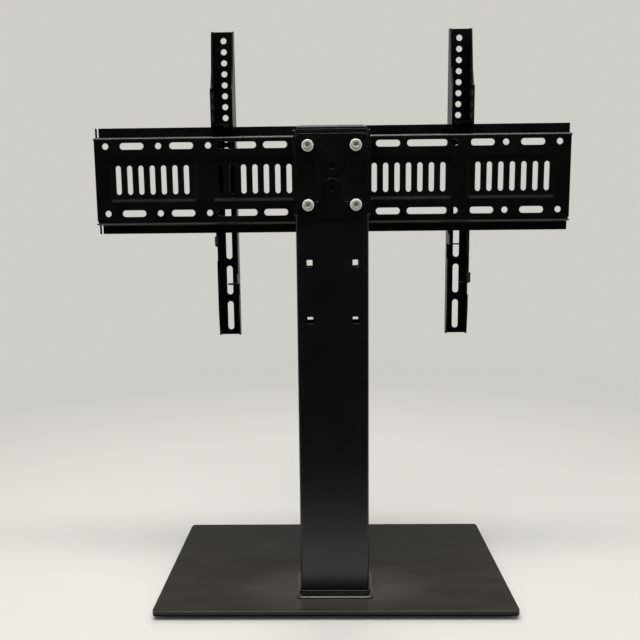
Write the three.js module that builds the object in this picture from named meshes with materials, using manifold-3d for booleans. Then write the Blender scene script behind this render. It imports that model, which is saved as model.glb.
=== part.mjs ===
// Table stand for a flat television: a glass foot, a steel column, and a pressed wall plate with two slotted arms.
// Millimetres. X runs along the wall plate, +Y faces the television, +Z is up.
// The origin is on the floor, under the centre of the glass foot.

import * as THREE from 'three';
import { mergeVertices } from 'three/addons/utils/BufferGeometryUtils.js';
import Module from 'manifold-3d';

const wasm = await Module();
wasm.setup();

// Shared clearances
const fitGap = 0.3;
const cutOverrun = 3;
const samePoint = 1e-5;

// Glass foot
const baseWidth = 520;
const baseDepth = 280;
const glassThickness = 8;
const glassCornerRadius = 6;
const glassBevel = 1.2;

// Rubber feet
const footHeight = 6;
const footRadius = 14;
const footChamfer = 1;
const footInset = 26;

// Column, a rectangular tube that stands near the rear edge of the foot
const columnWidth = 100;
const columnDepth = 50;
const columnWall = 2;
const columnCornerRadius = 3.2;
const columnRearSetback = 44;
const columnHeight = 667.4;

// Square holes through the column, in rows that the wall plate can be set to
const boltSpacingAcross = 65;
const boltRowPitch = 79.3;
const upperBoltRowDrop = 22;
const holeRows = 4;
const squareHoleSide = 9.5;
const squareHoleCorner = 0.8;

// Moulded cap in the top of the tube
const capPlugLength = 14;
const capRise = 6.1;
const capChamfer = 3;
const capWall = 2;

// Plate in the bottom of the tube, plate under the glass, and the screws that join them
const footPlateThickness = 6;
const undersidePlateWidth = 140;
const undersidePlateDepth = 84;
const undersidePlateThickness = 3;
const undersidePlateCorner = 8;
const baseScrewSpacingAcross = 64;
const baseScrewSpacingDeep = 24;
const baseScrewRadius = 2.9;
const baseScrewHeadRadius = 5.6;
const baseScrewHeadHeight = 2.5;
const baseScrewHeadSink = 0.3;
const baseScrewTipRise = 3;
const baseScrewTipChamfer = 0.8;
const baseScrewSocketAcross = 4;
const baseScrewSocketDepth = 1.6;
const glassHoleGap = 1.6;

// Collar around the foot of the column
const collarBorderAcross = 6.5;
const collarBorderDeep = 12.3;
const collarFlangeThickness = 3.2;
const collarEdgeRound = 1;
const collarLipWall = 1.9;
const collarLipHeight = 7;
const collarCornerRadius = 4.5;

// Wall plate, one pressed sheet with a flange and a lip along its top and its bottom
const sheet = 2;
const bendRadius = 2;
const plateHeight = 123.8;
const plateFaceLength = 682;
const plateLipLength = 692.6;
const plateFlangeDepth = 25;
const upperLipHeight = 16.4;
const lowerLipHeight = 13;
const plateCornerCutAcross = 3;
const plateCornerCutHigh = 6.5;
const plateTopCornerShare = 0.4;
const lipSlitWidth = 2.5;
const lipFingerWidth = 2.6;

// Openings in the wall plate, mirrored about its centre. Rows lie above and below the pattern's middle.
const patternMiddleDrop = 60.3;
const slotRowRise = 47.7;
const slotHeight = 9.4;
const roundHoleRadius = 4.5;
const roundHoleCentres = [176.8, 248.5, 324.7];
const slotCentres = [80.7, 136.7, 215.3, 286.8];
const slotLengths = [34.6, 57.8, 34.3, 34.5];
const grilleSlotWidth = 7.5;
const grilleSlotHeight = 41.2;
const grillePitch = 16.4;
const grilleCount = 7;
const grilleGroupCentres = [110.4, 258.8];

// Pressed-in panels of the wall plate
const panelHeight = 61.1;
const panelDrop = 1.05;
const panelSink = 1.8;
const panelSlope = 5;
const panelCorner = 4;
const outerPanelInnerEdge = 193.3;
const outerPanelOuterEdge = 321.3;
const innerPanelHalfLength = 172.7;

// Saddle that straddles the column
const saddleHeight = 113.5;
const saddleReach = 48;
const saddleTopDrop = 0.4;

// Clamp plate on the rear face of the column
const clampWidth = 99;
const clampHeight = 112;
const clampThickness = 2.5;
const clampCorner = 7.5;
const clampTopDrop = 6.1;
const clampWindowHalfWidth = 22.5;
const clampWindowHeight = 65.7;
const clampWindowFloorRise = 21.3;
const clampSlotWidth = 5;
const clampTongueRadius = 13.5;
const clampTongueGap = 2.3;
const clampTongueHoleRadius = 3.8;
const clampTongueWaistShare = 0.42;

// Screws, washers and nuts that hold the wall plate to the column
const boltRadius = 3.9;
const boltLength = 70;
const boltHeadRadius = 6.5;
const boltHeadHeight = 8;
const boltHeadChamfer = 0.8;
const boltTipChamfer = 1;
const boltSocketAcross = 6;
const boltSocketDepth = 4;
const boltHoleGap = 0.5;
const washerRadius = 8;
const washerThickness = 1.6;
const nutAcross = 13;
const nutThickness = 6.5;

// Arms that hook on the lips and take the television
const armWidth = 32;
const armRiseAboveHook = 138.3;
const armHeight = 447.8;
const armReach = 22;
const armLeftCentre = -157.3;
const armRightCentre = 188.4;
const armEndCorner = 3;
const armTopReach = 15;
const armShoulderReach = 24;
const armNeckReach = 33;
const armHookReach = 39;
const armTailReach = 18.5;
const armBottomReach = 13;
const armTopFall = 2.5;
const armShoulderDrop = 59;
const armNeckDrop = 84.5;
const armHookStepDrop = 87.5;
const armTailRise = 40;
const hookNoseLength = 12.7;
const lipRunGap = 0.4;
const bridgeDepth = 20;
const earReach = 33;
const earHeight = 15.5;
const earGap = 5.2;
const lowerEarDrop = 56.6;
const earTabLength = 15;
const earTabHoleRadius = 2.5;
const waistReach = 12.7;
const upperWaistHeight = 20;
const lowerWaistHeight = 17;

// Holes and slots in the arms' webs
const armHoleRadius = 4.4;
const armHolePitch = 15.65;
const armHoleCount = 11;
const armHoleTopDrop = 12.5;
const armSlotWidth = 9;
const armSlotLength = 44;
const armSlotPitch = 54.4;
const armSlotCount = 4;
const armSlotBottomRise = 7.5;

// Facets: how many straight steps stand in for half a round outline
const holeSteps = 7;
const slotEndSteps = 3;
const cornerSteps = 3;
const bendSteps = 2;
const squareCornerSteps = 1;
const turnedSteps = 20;

// Heights and depths that follow from the sizes above
const glassTop = footHeight + glassThickness;
const columnTop = glassTop + columnHeight;
const columnRear = -baseDepth / 2 + columnRearSetback;
const columnFront = columnRear + columnDepth;
const columnMiddle = (columnRear + columnFront) / 2;
const boltHalfSpacing = boltSpacingAcross / 2;
const upperBoltHeight = columnTop - upperBoltRowDrop;
const lowerBoltHeight = upperBoltHeight - boltRowPitch;
const saddleFront = columnFront + sheet;
const plateRear = saddleFront;
const plateFront = plateRear + sheet;
const plateTop = columnTop;
const plateBottom = plateTop - plateHeight;
const patternMiddle = plateTop - patternMiddleDrop;
const lipFront = plateRear + plateFlangeDepth;
const lipRear = lipFront - sheet;
const upperLipTop = plateTop + upperLipHeight;
const lowerLipBottom = plateBottom - lowerLipHeight;
const armFront = lipFront + armReach;
const hookTop = upperLipTop + lipRunGap;
const armTop = hookTop + armRiseAboveHook;
const armBottom = armTop - armHeight;

// Finishes
const colours = {
  blackGlass: { color: 0x2b2927, roughness: 0.08, metalness: 0 },
  blackSteel: { color: 0x1d1d1e, roughness: 0.55, metalness: 0.2 },
  columnSteel: { color: 0x232325, roughness: 0.45, metalness: 0.2 },
  zinc: { color: 0xb9b9b4, roughness: 0.3, metalness: 1 },
  moulded: { color: 0x2e2e30, roughness: 0.6, metalness: 0 },
  rubber: { color: 0x161616, roughness: 0.9, metalness: 0 },
};

// Frames: each turns a shape drawn in its own plane into the stand's axes.
// lying keeps X and Y. facing draws in X and Z and grows towards -Y. sideways draws in Y and Z and grows towards +X.
const frames = {
  lying: new THREE.Matrix4(),
  facing: new THREE.Matrix4().makeBasis(
    new THREE.Vector3(1, 0, 0),
    new THREE.Vector3(0, 0, 1),
    new THREE.Vector3(0, -1, 0),
  ),
  sideways: new THREE.Matrix4().makeBasis(
    new THREE.Vector3(0, 1, 0),
    new THREE.Vector3(0, 0, 1),
    new THREE.Vector3(1, 0, 0),
  ),
};

// A closed mesh as a solid that can be joined and cut
function solidOf(geometry) {
  const bare = geometry.clone();
  bare.deleteAttribute('normal');
  bare.deleteAttribute('uv');
  const merged = mergeVertices(bare, samePoint);
  const mesh = new wasm.Mesh({
    numProp: 3,
    vertProperties: new Float32Array(merged.attributes.position.array),
    triVerts: new Uint32Array(merged.index.array),
  });
  return new wasm.Manifold(mesh);
}

// A solid back as a mesh
function geometryOf(solid) {
  const mesh = solid.getMesh();
  const geometry = new THREE.BufferGeometry();
  geometry.setAttribute('position', new THREE.BufferAttribute(new Float32Array(mesh.vertProperties), 3));
  geometry.setIndex(new THREE.BufferAttribute(new Uint32Array(mesh.triVerts), 1));
  const flat = geometry.toNonIndexed();
  flat.computeVertexNormals();
  return flat;
}

// One or more flat shapes given a thickness, from low to high along the frame's third world axis
function slab(shapes, frame, low, high, steps = cornerSteps) {
  const geometry = new THREE.ExtrudeGeometry(shapes, {
    depth: high - low,
    bevelEnabled: false,
    curveSegments: steps,
    steps: 1,
  });
  geometry.applyMatrix4(frames[frame]);
  const start = frame === 'facing' ? new THREE.Vector3(0, high, 0)
    : frame === 'sideways' ? new THREE.Vector3(low, 0, 0)
      : new THREE.Vector3(0, 0, low);
  geometry.translate(start.x, start.y, start.z);
  return geometry;
}

// A closed outline with round corners, centred on a point
function roundedBox(width, height, radius, x = 0, y = 0) {
  const left = x - width / 2;
  const right = x + width / 2;
  const bottom = y - height / 2;
  const top = y + height / 2;
  const shape = new THREE.Shape();
  shape.moveTo(left + radius, bottom);
  shape.lineTo(right - radius, bottom);
  shape.absarc(right - radius, bottom + radius, radius, -Math.PI / 2, 0, false);
  shape.lineTo(right, top - radius);
  shape.absarc(right - radius, top - radius, radius, 0, Math.PI / 2, false);
  shape.lineTo(left + radius, top);
  shape.absarc(left + radius, top - radius, radius, Math.PI / 2, Math.PI, false);
  shape.lineTo(left, bottom + radius);
  shape.absarc(left + radius, bottom + radius, radius, Math.PI, 1.5 * Math.PI, false);
  return shape;
}

function box(left, bottom, right, top) {
  const shape = new THREE.Shape();
  shape.moveTo(left, bottom);
  shape.lineTo(right, bottom);
  shape.lineTo(right, top);
  shape.lineTo(left, top);
  shape.closePath();
  return shape;
}

function disc(radius, x = 0, y = 0) {
  const shape = new THREE.Shape();
  shape.absarc(x, y, radius, 0, 2 * Math.PI, false);
  return shape;
}

function hexagon(across) {
  const radius = across / Math.sqrt(3);
  const corners = [];
  for (let i = 0; i < 6; i += 1) {
    const angle = (i * Math.PI) / 3;
    corners.push(new THREE.Vector2(radius * Math.cos(angle), radius * Math.sin(angle)));
  }
  return new THREE.Shape(corners);
}

// A slot with round ends, lying along the drawing's first axis, or standing along its second
function slot(length, width, x, y, standing = false) {
  const radius = width / 2;
  const reach = length / 2 - radius;
  const turn = standing ? Math.PI / 2 : 0;
  const dx = standing ? 0 : reach;
  const dy = standing ? reach : 0;
  const shape = new THREE.Shape();
  shape.absarc(x + dx, y + dy, radius, turn - Math.PI / 2, turn + Math.PI / 2, false);
  shape.absarc(x - dx, y - dy, radius, turn + Math.PI / 2, turn + 1.5 * Math.PI, false);
  shape.closePath();
  return shape;
}

// A closed skin through rings of equal point count, each ring counter-clockwise, lowest first
function loft(rings) {
  const count = rings[0].length;
  const points = rings.flat();
  const index = [];
  for (let r = 0; r < rings.length - 1; r += 1) {
    for (let i = 0; i < count; i += 1) {
      const a = r * count + i;
      const b = r * count + ((i + 1) % count);
      index.push(a, b, b + count);
      index.push(a, b + count, a + count);
    }
  }
  const cap = THREE.ShapeUtils.triangulateShape(rings[0].map((p) => new THREE.Vector2(p.x, p.y)), []);
  const last = (rings.length - 1) * count;
  for (const [a, b, c] of cap) {
    index.push(a, c, b);
    index.push(last + a, last + b, last + c);
  }
  const geometry = new THREE.BufferGeometry();
  const coordinates = new Float32Array(points.flatMap((p) => [p.x, p.y, p.z]));
  geometry.setAttribute('position', new THREE.BufferAttribute(coordinates, 3));
  geometry.setIndex(index);
  return geometry;
}

// One ring for a loft: a rectangle with round corners at a given height
function ring(width, depth, radius, height, x = 0, y = 0, steps = cornerSteps) {
  const outline = roundedBox(width, depth, radius, x, y).extractPoints(steps).shape;
  const closed = outline[0].distanceTo(outline[outline.length - 1]) < samePoint;
  const corners = closed ? outline.slice(0, -1) : outline;
  return corners.map((p) => new THREE.Vector3(p.x, p.y, height));
}

// A turned solid about the Z axis from [radius, height] pairs, first and last on the axis, lowest first
function turned(pairs) {
  return new THREE.LatheGeometry(pairs.map(([r, z]) => new THREE.Vector2(r, z)), turnedSteps)
    .applyMatrix4(new THREE.Matrix4().makeBasis(
      new THREE.Vector3(1, 0, 0),
      new THREE.Vector3(0, 0, 1),
      new THREE.Vector3(0, -1, 0),
    ));
}

const stand = new THREE.Group();

function addPiece(name, geometry, finish, x = 0, y = 0, z = 0) {
  const mesh = new THREE.Mesh(geometry, new THREE.MeshStandardMaterial(colours[finish]));
  mesh.name = name;
  mesh.position.set(x, y, z);
  stand.add(mesh);
  return mesh;
}

// Positions of a rectangle of four fasteners
function fourCorners(halfAcross, middle, halfOther) {
  return [
    { label: 'upper_left', across: -halfAcross, other: middle + halfOther },
    { label: 'upper_right', across: halfAcross, other: middle + halfOther },
    { label: 'lower_left', across: -halfAcross, other: middle - halfOther },
    { label: 'lower_right', across: halfAcross, other: middle - halfOther },
  ];
}

const boltMiddle = (upperBoltHeight + lowerBoltHeight) / 2;
const boltPlaces = fourCorners(boltHalfSpacing, boltMiddle, boltRowPitch / 2);
const screwPlaces = fourCorners(baseScrewSpacingAcross / 2, columnMiddle, baseScrewSpacingDeep / 2)
  .map((place) => ({ ...place, label: place.label.replace('upper', 'front').replace('lower', 'rear') }));

// Glass foot with ground bevels and four screw holes under the column
function buildGlassBase() {
  const inset = 2 * glassBevel;
  const body = loft([
    ring(baseWidth - inset, baseDepth - inset, glassCornerRadius - glassBevel, footHeight),
    ring(baseWidth, baseDepth, glassCornerRadius, footHeight + glassBevel),
    ring(baseWidth, baseDepth, glassCornerRadius, glassTop - glassBevel),
    ring(baseWidth - inset, baseDepth - inset, glassCornerRadius - glassBevel, glassTop),
  ]);
  const holes = screwPlaces.map((p) => disc(baseScrewRadius + glassHoleGap, p.across, p.other));
  const cutter = slab(holes, 'lying', footHeight - cutOverrun, glassTop + cutOverrun, holeSteps);
  addPiece('glass_base', geometryOf(solidOf(body).subtract(solidOf(cutter))), 'blackGlass');
}

// Rubber feet near the corners of the glass
function buildFeet() {
  const profile = [
    [0, 0],
    [footRadius - footChamfer, 0],
    [footRadius, footChamfer],
    [footRadius, footHeight],
    [0, footHeight],
  ];
  for (const [side, sx] of [['left', -1], ['right', 1]]) {
    for (const [end, sy] of [['rear', -1], ['front', 1]]) {
      const x = sx * (baseWidth / 2 - footInset);
      const y = sy * (baseDepth / 2 - footInset);
      addPiece(`rubber_foot_${end}_${side}`, turned(profile), 'rubber', x, y);
    }
  }
}

// The plate in the tube, the plate under the glass and the countersunk screws
function buildFootFixing() {
  const gap = 2 * fitGap;
  const plateWidth = columnWidth - 2 * columnWall - gap;
  const plateDepth = columnDepth - 2 * columnWall - gap;
  const inner = roundedBox(plateWidth, plateDepth, columnCornerRadius, 0, columnMiddle);
  inner.holes = screwPlaces.map((p) => disc(baseScrewRadius + fitGap, p.across, p.other));
  addPiece('column_foot_plate', slab(inner, 'lying', glassTop, glassTop + footPlateThickness, holeSteps), 'blackSteel');

  const low = footHeight - undersidePlateThickness;
  const headLow = low + baseScrewHeadSink;
  const headHigh = headLow + baseScrewHeadHeight;
  const tip = glassTop + footPlateThickness + baseScrewTipRise;
  const under = slab(
    roundedBox(undersidePlateWidth, undersidePlateDepth, undersidePlateCorner, 0, columnMiddle),
    'lying', low, footHeight,
  );
  const sink = turned([
    [0, low - cutOverrun],
    [baseScrewHeadRadius + fitGap, low - cutOverrun],
    [baseScrewHeadRadius + fitGap, headLow],
    [baseScrewRadius + fitGap, headHigh],
    [baseScrewRadius + fitGap, footHeight + cutOverrun],
    [0, footHeight + cutOverrun],
  ]);
  let plate = solidOf(under);
  for (const p of screwPlaces) {
    plate = plate.subtract(solidOf(sink.clone().translate(p.across, p.other, 0)));
  }
  addPiece('underside_plate', geometryOf(plate), 'blackSteel');

  const body = turned([
    [0, headLow],
    [baseScrewHeadRadius, headLow],
    [baseScrewRadius, headHigh],
    [baseScrewRadius, tip - baseScrewTipChamfer],
    [baseScrewRadius - baseScrewTipChamfer, tip],
    [0, tip],
  ]);
  const socket = slab(hexagon(baseScrewSocketAcross), 'lying', headLow - cutOverrun, headLow + baseScrewSocketDepth);
  const screw = geometryOf(solidOf(body).subtract(solidOf(socket)));
  for (const p of screwPlaces) {
    addPiece(`base_screw_${p.label}`, screw, 'zinc', p.across, p.other);
  }
}

// Column tube with its rows of square holes through both walls
function buildColumn() {
  const section = roundedBox(columnWidth, columnDepth, columnCornerRadius, 0, columnMiddle);
  section.holes = [roundedBox(
    columnWidth - 2 * columnWall,
    columnDepth - 2 * columnWall,
    columnCornerRadius - columnWall,
    0,
    columnMiddle,
  )];
  const tube = slab(section, 'lying', glassTop, columnTop);
  const squares = [];
  for (let row = 0; row < holeRows; row += 1) {
    for (const side of [-1, 1]) {
      const height = upperBoltHeight - row * boltRowPitch;
      squares.push(roundedBox(squareHoleSide, squareHoleSide, squareHoleCorner, side * boltHalfSpacing, height));
    }
  }
  const cutter = slab(squares, 'facing', columnRear - cutOverrun, columnFront + cutOverrun, squareCornerSteps);
  addPiece('column', geometryOf(solidOf(tube).subtract(solidOf(cutter))), 'columnSteel');
}

// Cap: a hollow plug in the tube with a chamfered top
function buildCap() {
  const width = columnWidth - 2 * (columnWall + fitGap);
  const depth = columnDepth - 2 * (columnWall + fitGap);
  const low = columnTop - capPlugLength;
  const high = columnTop + capRise;
  const body = loft([
    ring(width, depth, columnCornerRadius, low, 0, columnMiddle),
    ring(width, depth, columnCornerRadius, high - capChamfer, 0, columnMiddle),
    ring(width - 2 * capChamfer, depth - 2 * capChamfer, columnCornerRadius, high, 0, columnMiddle),
  ]);
  const hollow = slab(
    roundedBox(width - 2 * capWall, depth - 2 * capWall, columnCornerRadius - capWall / 2, 0, columnMiddle),
    'lying', low - cutOverrun, high - capChamfer - capWall / 2,
  );
  addPiece('column_cap', geometryOf(solidOf(body).subtract(solidOf(hollow))), 'moulded');
}

// Collar: a flange on the glass and a lip that hugs the column
function buildCollar() {
  const width = columnWidth + 2 * collarBorderAcross;
  const depth = columnDepth + 2 * collarBorderDeep;
  const lipWidth = columnWidth + 2 * (fitGap + collarLipWall);
  const lipDepth = columnDepth + 2 * (fitGap + collarLipWall);
  const flangeTop = glassTop + collarFlangeThickness;
  const lipTop = glassTop + collarLipHeight;
  const round = 2 * collarEdgeRound;
  const flange = loft([
    ring(width, depth, collarCornerRadius, glassTop, 0, columnMiddle),
    ring(width, depth, collarCornerRadius, flangeTop - collarEdgeRound, 0, columnMiddle),
    ring(width - round, depth - round, collarCornerRadius - collarEdgeRound, flangeTop, 0, columnMiddle),
  ]);
  const lipCorner = columnCornerRadius + collarLipWall;
  const lip = loft([
    ring(lipWidth, lipDepth, lipCorner, glassTop + collarEdgeRound, 0, columnMiddle),
    ring(lipWidth, lipDepth, lipCorner, lipTop - collarEdgeRound / 2, 0, columnMiddle),
    ring(lipWidth - collarEdgeRound, lipDepth - collarEdgeRound, lipCorner, lipTop, 0, columnMiddle),
  ]);
  const bore = slab(
    roundedBox(columnWidth + 2 * fitGap, columnDepth + 2 * fitGap, columnCornerRadius, 0, columnMiddle),
    'lying', glassTop - cutOverrun, lipTop + cutOverrun,
  );
  const collar = solidOf(flange).add(solidOf(lip)).subtract(solidOf(bore));
  addPiece('foot_collar', geometryOf(collar), 'moulded');
}

// Clamp plate: its window leaves one tongue hanging down and one standing up
function buildClampPlate() {
  const top = columnTop - clampTopDrop;
  const middle = top - clampHeight / 2;
  const floor = top - clampHeight + clampWindowFloorRise;
  const ceiling = floor + clampWindowHeight;
  const edge = clampWindowHalfWidth;
  const root = edge - clampSlotWidth;
  const slotRound = clampSlotWidth / 2;
  const upperHole = (floor + ceiling) / 2 + clampTongueRadius + clampTongueGap / 2;
  const lowerHole = (floor + ceiling) / 2 - clampTongueRadius - clampTongueGap / 2;
  const waist = clampTongueWaistShare * Math.PI;
  const radius = clampTongueRadius;
  const window = new THREE.Shape();
  window.moveTo(-edge, floor);
  window.lineTo(-root, floor);
  window.absarc(0, lowerHole, radius, Math.PI / 2 + waist, Math.PI / 2 - waist, true);
  window.lineTo(root, floor);
  window.lineTo(edge, floor);
  window.lineTo(edge, ceiling - slotRound);
  window.absarc(edge - slotRound, ceiling - slotRound, slotRound, 0, Math.PI, false);
  window.absarc(0, upperHole, radius, waist - Math.PI / 2, -waist - Math.PI / 2, true);
  window.lineTo(-root, ceiling - slotRound);
  window.absarc(slotRound - edge, ceiling - slotRound, slotRound, 0, Math.PI, false);
  window.closePath();
  const outline = roundedBox(clampWidth, clampHeight, clampCorner, 0, middle);
  outline.holes = [
    window,
    disc(clampTongueHoleRadius, 0, upperHole),
    disc(clampTongueHoleRadius, 0, lowerHole),
    ...boltPlaces.map((p) => disc(boltRadius + boltHoleGap, p.across, p.other)),
  ];
  addPiece('clamp_plate', slab(outline, 'facing', columnRear - clampThickness, columnRear, holeSteps), 'blackSteel');
}

// Saddle: a U-shaped sheet around the front of the column
function buildSaddle() {
  const inner = columnWidth / 2 + fitGap;
  const outer = inner + sheet;
  const rear = saddleFront - sheet - saddleReach;
  const outerBend = bendRadius + sheet / 2;
  const innerBend = bendRadius - sheet / 2;
  const section = new THREE.Shape();
  section.moveTo(-outer, rear);
  section.lineTo(-inner, rear);
  section.lineTo(-inner, columnFront - innerBend);
  section.absarc(innerBend - inner, columnFront - innerBend, innerBend, Math.PI, Math.PI / 2, true);
  section.lineTo(inner - innerBend, columnFront);
  section.absarc(inner - innerBend, columnFront - innerBend, innerBend, Math.PI / 2, 0, true);
  section.lineTo(inner, rear);
  section.lineTo(outer, rear);
  section.lineTo(outer, saddleFront - outerBend);
  section.absarc(outer - outerBend, saddleFront - outerBend, outerBend, 0, Math.PI / 2, false);
  section.lineTo(outerBend - outer, saddleFront);
  section.absarc(outerBend - outer, saddleFront - outerBend, outerBend, Math.PI / 2, Math.PI, false);
  section.closePath();
  const top = columnTop - saddleTopDrop;
  const body = slab(section, 'lying', top - saddleHeight, top, bendSteps);
  const holes = boltPlaces.map((p) => disc(boltRadius + boltHoleGap, p.across, p.other));
  const cutter = slab(holes, 'facing', columnFront - cutOverrun, saddleFront + cutOverrun, holeSteps);
  addPiece('saddle_bracket', geometryOf(solidOf(body).subtract(solidOf(cutter))), 'blackSteel');
}

// Section of the wall plate in Y and Z: face, two flanges and two lips, one sheet thick with round bends
function wallPlateSection() {
  const tight = bendRadius;
  const wide = bendRadius + sheet;
  const section = new THREE.Shape();
  section.moveTo(plateRear, plateBottom + wide);
  section.absarc(plateRear + wide, plateBottom + wide, wide, Math.PI, 1.5 * Math.PI, false);
  section.lineTo(lipRear - tight, plateBottom);
  section.absarc(lipRear - tight, plateBottom - tight, tight, Math.PI / 2, 0, true);
  section.lineTo(lipRear, lowerLipBottom);
  section.lineTo(lipFront, lowerLipBottom);
  section.lineTo(lipFront, plateBottom - tight);
  section.absarc(lipFront - wide, plateBottom - tight, wide, 0, Math.PI / 2, false);
  section.lineTo(plateFront + tight, plateBottom + sheet);
  section.absarc(plateFront + tight, plateBottom + wide, tight, 1.5 * Math.PI, Math.PI, true);
  section.lineTo(plateFront, plateTop - wide);
  section.absarc(plateFront + tight, plateTop - wide, tight, Math.PI, Math.PI / 2, true);
  section.lineTo(lipFront - wide, plateTop - sheet);
  section.absarc(lipFront - wide, plateTop + tight, wide, 1.5 * Math.PI, 2 * Math.PI, false);
  section.lineTo(lipFront, upperLipTop);
  section.lineTo(lipRear, upperLipTop);
  section.lineTo(lipRear, plateTop + tight);
  section.absarc(lipRear - tight, plateTop + tight, tight, 0, -Math.PI / 2, true);
  section.lineTo(plateRear + wide, plateTop);
  section.absarc(plateRear + wide, plateTop - wide, wide, Math.PI / 2, Math.PI, false);
  section.closePath();
  return section;
}

// Left and right edges of the three pressed-in panels
function panelSpans() {
  return [
    [-outerPanelOuterEdge, -outerPanelInnerEdge],
    [-innerPanelHalfLength, innerPanelHalfLength],
    [outerPanelInnerEdge, outerPanelOuterEdge],
  ];
}

// Wall plate: pressed panels, rows of holes and slots, grilles, and trimmed ends
function buildWallPlate() {
  const halfLip = plateLipLength / 2;
  const halfFace = plateFaceLength / 2;
  let plate = solidOf(slab(wallPlateSection(), 'sideways', -halfLip, halfLip, bendSteps));

  for (const [left, right] of panelSpans()) {
    const x = (left + right) / 2;
    const wide = right - left;
    const panelRing = (grow, y) => ring(
      wide + grow,
      panelHeight + grow,
      Math.max(panelCorner + grow / 2, panelCorner / 2),
      -y,
      x,
      patternMiddle - panelDrop,
    );
    const floorShrink = -2 * panelSlope;
    const overGrow = (2 * panelSlope * cutOverrun) / panelSink;
    const boss = loft([
      panelRing(floorShrink, plateFront + panelSink),
      panelRing(0, plateFront),
      panelRing(0, plateFront - sheet / 2),
    ]).applyMatrix4(frames.facing);
    const pocket = loft([
      panelRing(floorShrink, plateRear + panelSink),
      panelRing(overGrow, plateRear - cutOverrun),
    ]).applyMatrix4(frames.facing);
    plate = plate.add(solidOf(boss)).subtract(solidOf(pocket));
  }

  const rounds = boltPlaces.map((p) => disc(boltRadius + boltHoleGap, p.across, p.other));
  const slots = [];
  for (const side of [-1, 1]) {
    for (const rise of [-slotRowRise, slotRowRise]) {
      for (const centre of roundHoleCentres) {
        rounds.push(disc(roundHoleRadius, side * centre, patternMiddle + rise));
      }
      slotCentres.forEach((centre, i) => {
        slots.push(slot(slotLengths[i], slotHeight, side * centre, patternMiddle + rise));
      });
    }
    for (const centre of grilleGroupCentres) {
      for (let i = 0; i < grilleCount; i += 1) {
        const x = side * centre + (i - (grilleCount - 1) / 2) * grillePitch;
        slots.push(slot(grilleSlotHeight, grilleSlotWidth, x, patternMiddle, true));
      }
    }
  }
  const cutRear = plateRear - cutOverrun;
  const cutFront = plateFront + panelSink + cutOverrun;
  plate = plate.subtract(solidOf(slab(rounds, 'facing', cutRear, cutFront, holeSteps)));
  plate = plate.subtract(solidOf(slab(slots, 'facing', cutRear, cutFront, slotEndSteps)));

  // The face is shorter than the lips, and its corners are trimmed, the lower ones more
  const flangeMiddle = (plateRear + lipRear) / 2;
  const low = lowerLipBottom - cutOverrun;
  const high = upperLipTop + cutOverrun;
  for (const side of [-1, 1]) {
    const inner = side * halfFace;
    const outer = side * (halfLip + cutOverrun);
    const trim = box(Math.min(inner, outer), low, Math.max(inner, outer), high);
    plate = plate.subtract(solidOf(slab(trim, 'facing', cutRear, flangeMiddle)));
    const corner = (heightAt, up, share) => {
      const shape = new THREE.Shape();
      shape.moveTo(inner + side * cutOverrun, heightAt);
      shape.lineTo(inner + side * cutOverrun, heightAt + up * share * plateCornerCutHigh);
      shape.lineTo(inner, heightAt + up * share * plateCornerCutHigh);
      shape.lineTo(inner - side * share * plateCornerCutAcross, heightAt);
      shape.closePath();
      return solidOf(slab(shape, 'facing', cutRear, flangeMiddle));
    };
    plate = plate.subtract(corner(plateBottom, 1, 1));
    plate = plate.subtract(corner(plateTop, -1, plateTopCornerShare));
  }

  // Near the left end each lip has a slit that leaves a narrow finger
  const slitLeft = -halfLip + lipFingerWidth;
  const slitRight = slitLeft + lipSlitWidth;
  const slits = [
    box(slitLeft, plateTop, slitRight, high),
    box(slitLeft, low, slitRight, plateBottom),
  ];
  plate = plate.subtract(solidOf(slab(slits, 'facing', lipRear - cutOverrun, lipFront + cutOverrun)));
  addPiece('wall_plate', geometryOf(plate), 'blackSteel');
}

// Screws, washers and nuts. Drawn about the Z axis with the head down, then turned to lie along Y.
function buildFasteners() {
  const headRear = columnRear - clampThickness - washerThickness - boltHeadHeight;
  const seat = boltHeadHeight;
  const tip = seat + boltLength;
  const body = turned([
    [0, 0],
    [boltHeadRadius - boltHeadChamfer, 0],
    [boltHeadRadius, boltHeadChamfer],
    [boltHeadRadius, seat],
    [boltRadius, seat],
    [boltRadius, tip - boltTipChamfer],
    [boltRadius - boltTipChamfer, tip],
    [0, tip],
  ]);
  const socket = slab(hexagon(boltSocketAcross), 'lying', -cutOverrun, boltSocketDepth);
  const alongY = new THREE.Matrix4().makeBasis(
    new THREE.Vector3(1, 0, 0),
    new THREE.Vector3(0, 0, -1),
    new THREE.Vector3(0, 1, 0),
  );
  const bolt = geometryOf(solidOf(body).subtract(solidOf(socket))).applyMatrix4(alongY);

  const washerShape = disc(washerRadius);
  washerShape.holes = [disc(boltRadius + fitGap)];
  const washer = slab(washerShape, 'facing', 0, washerThickness, holeSteps);
  const nutShape = hexagon(nutAcross);
  nutShape.holes = [disc(boltRadius + fitGap)];
  const nut = slab(nutShape, 'facing', 0, nutThickness, holeSteps);

  const rearWasherRear = columnRear - clampThickness - washerThickness;
  for (const p of boltPlaces) {
    addPiece(`bolt_${p.label}`, bolt, 'zinc', p.across, headRear, p.other);
    addPiece(`rear_washer_${p.label}`, washer, 'zinc', p.across, rearWasherRear, p.other);
    addPiece(`front_washer_${p.label}`, washer, 'zinc', p.across, plateFront, p.other);
    addPiece(`nut_${p.label}`, nut, 'zinc', p.across, plateFront + washerThickness, p.other);
  }
}

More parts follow.
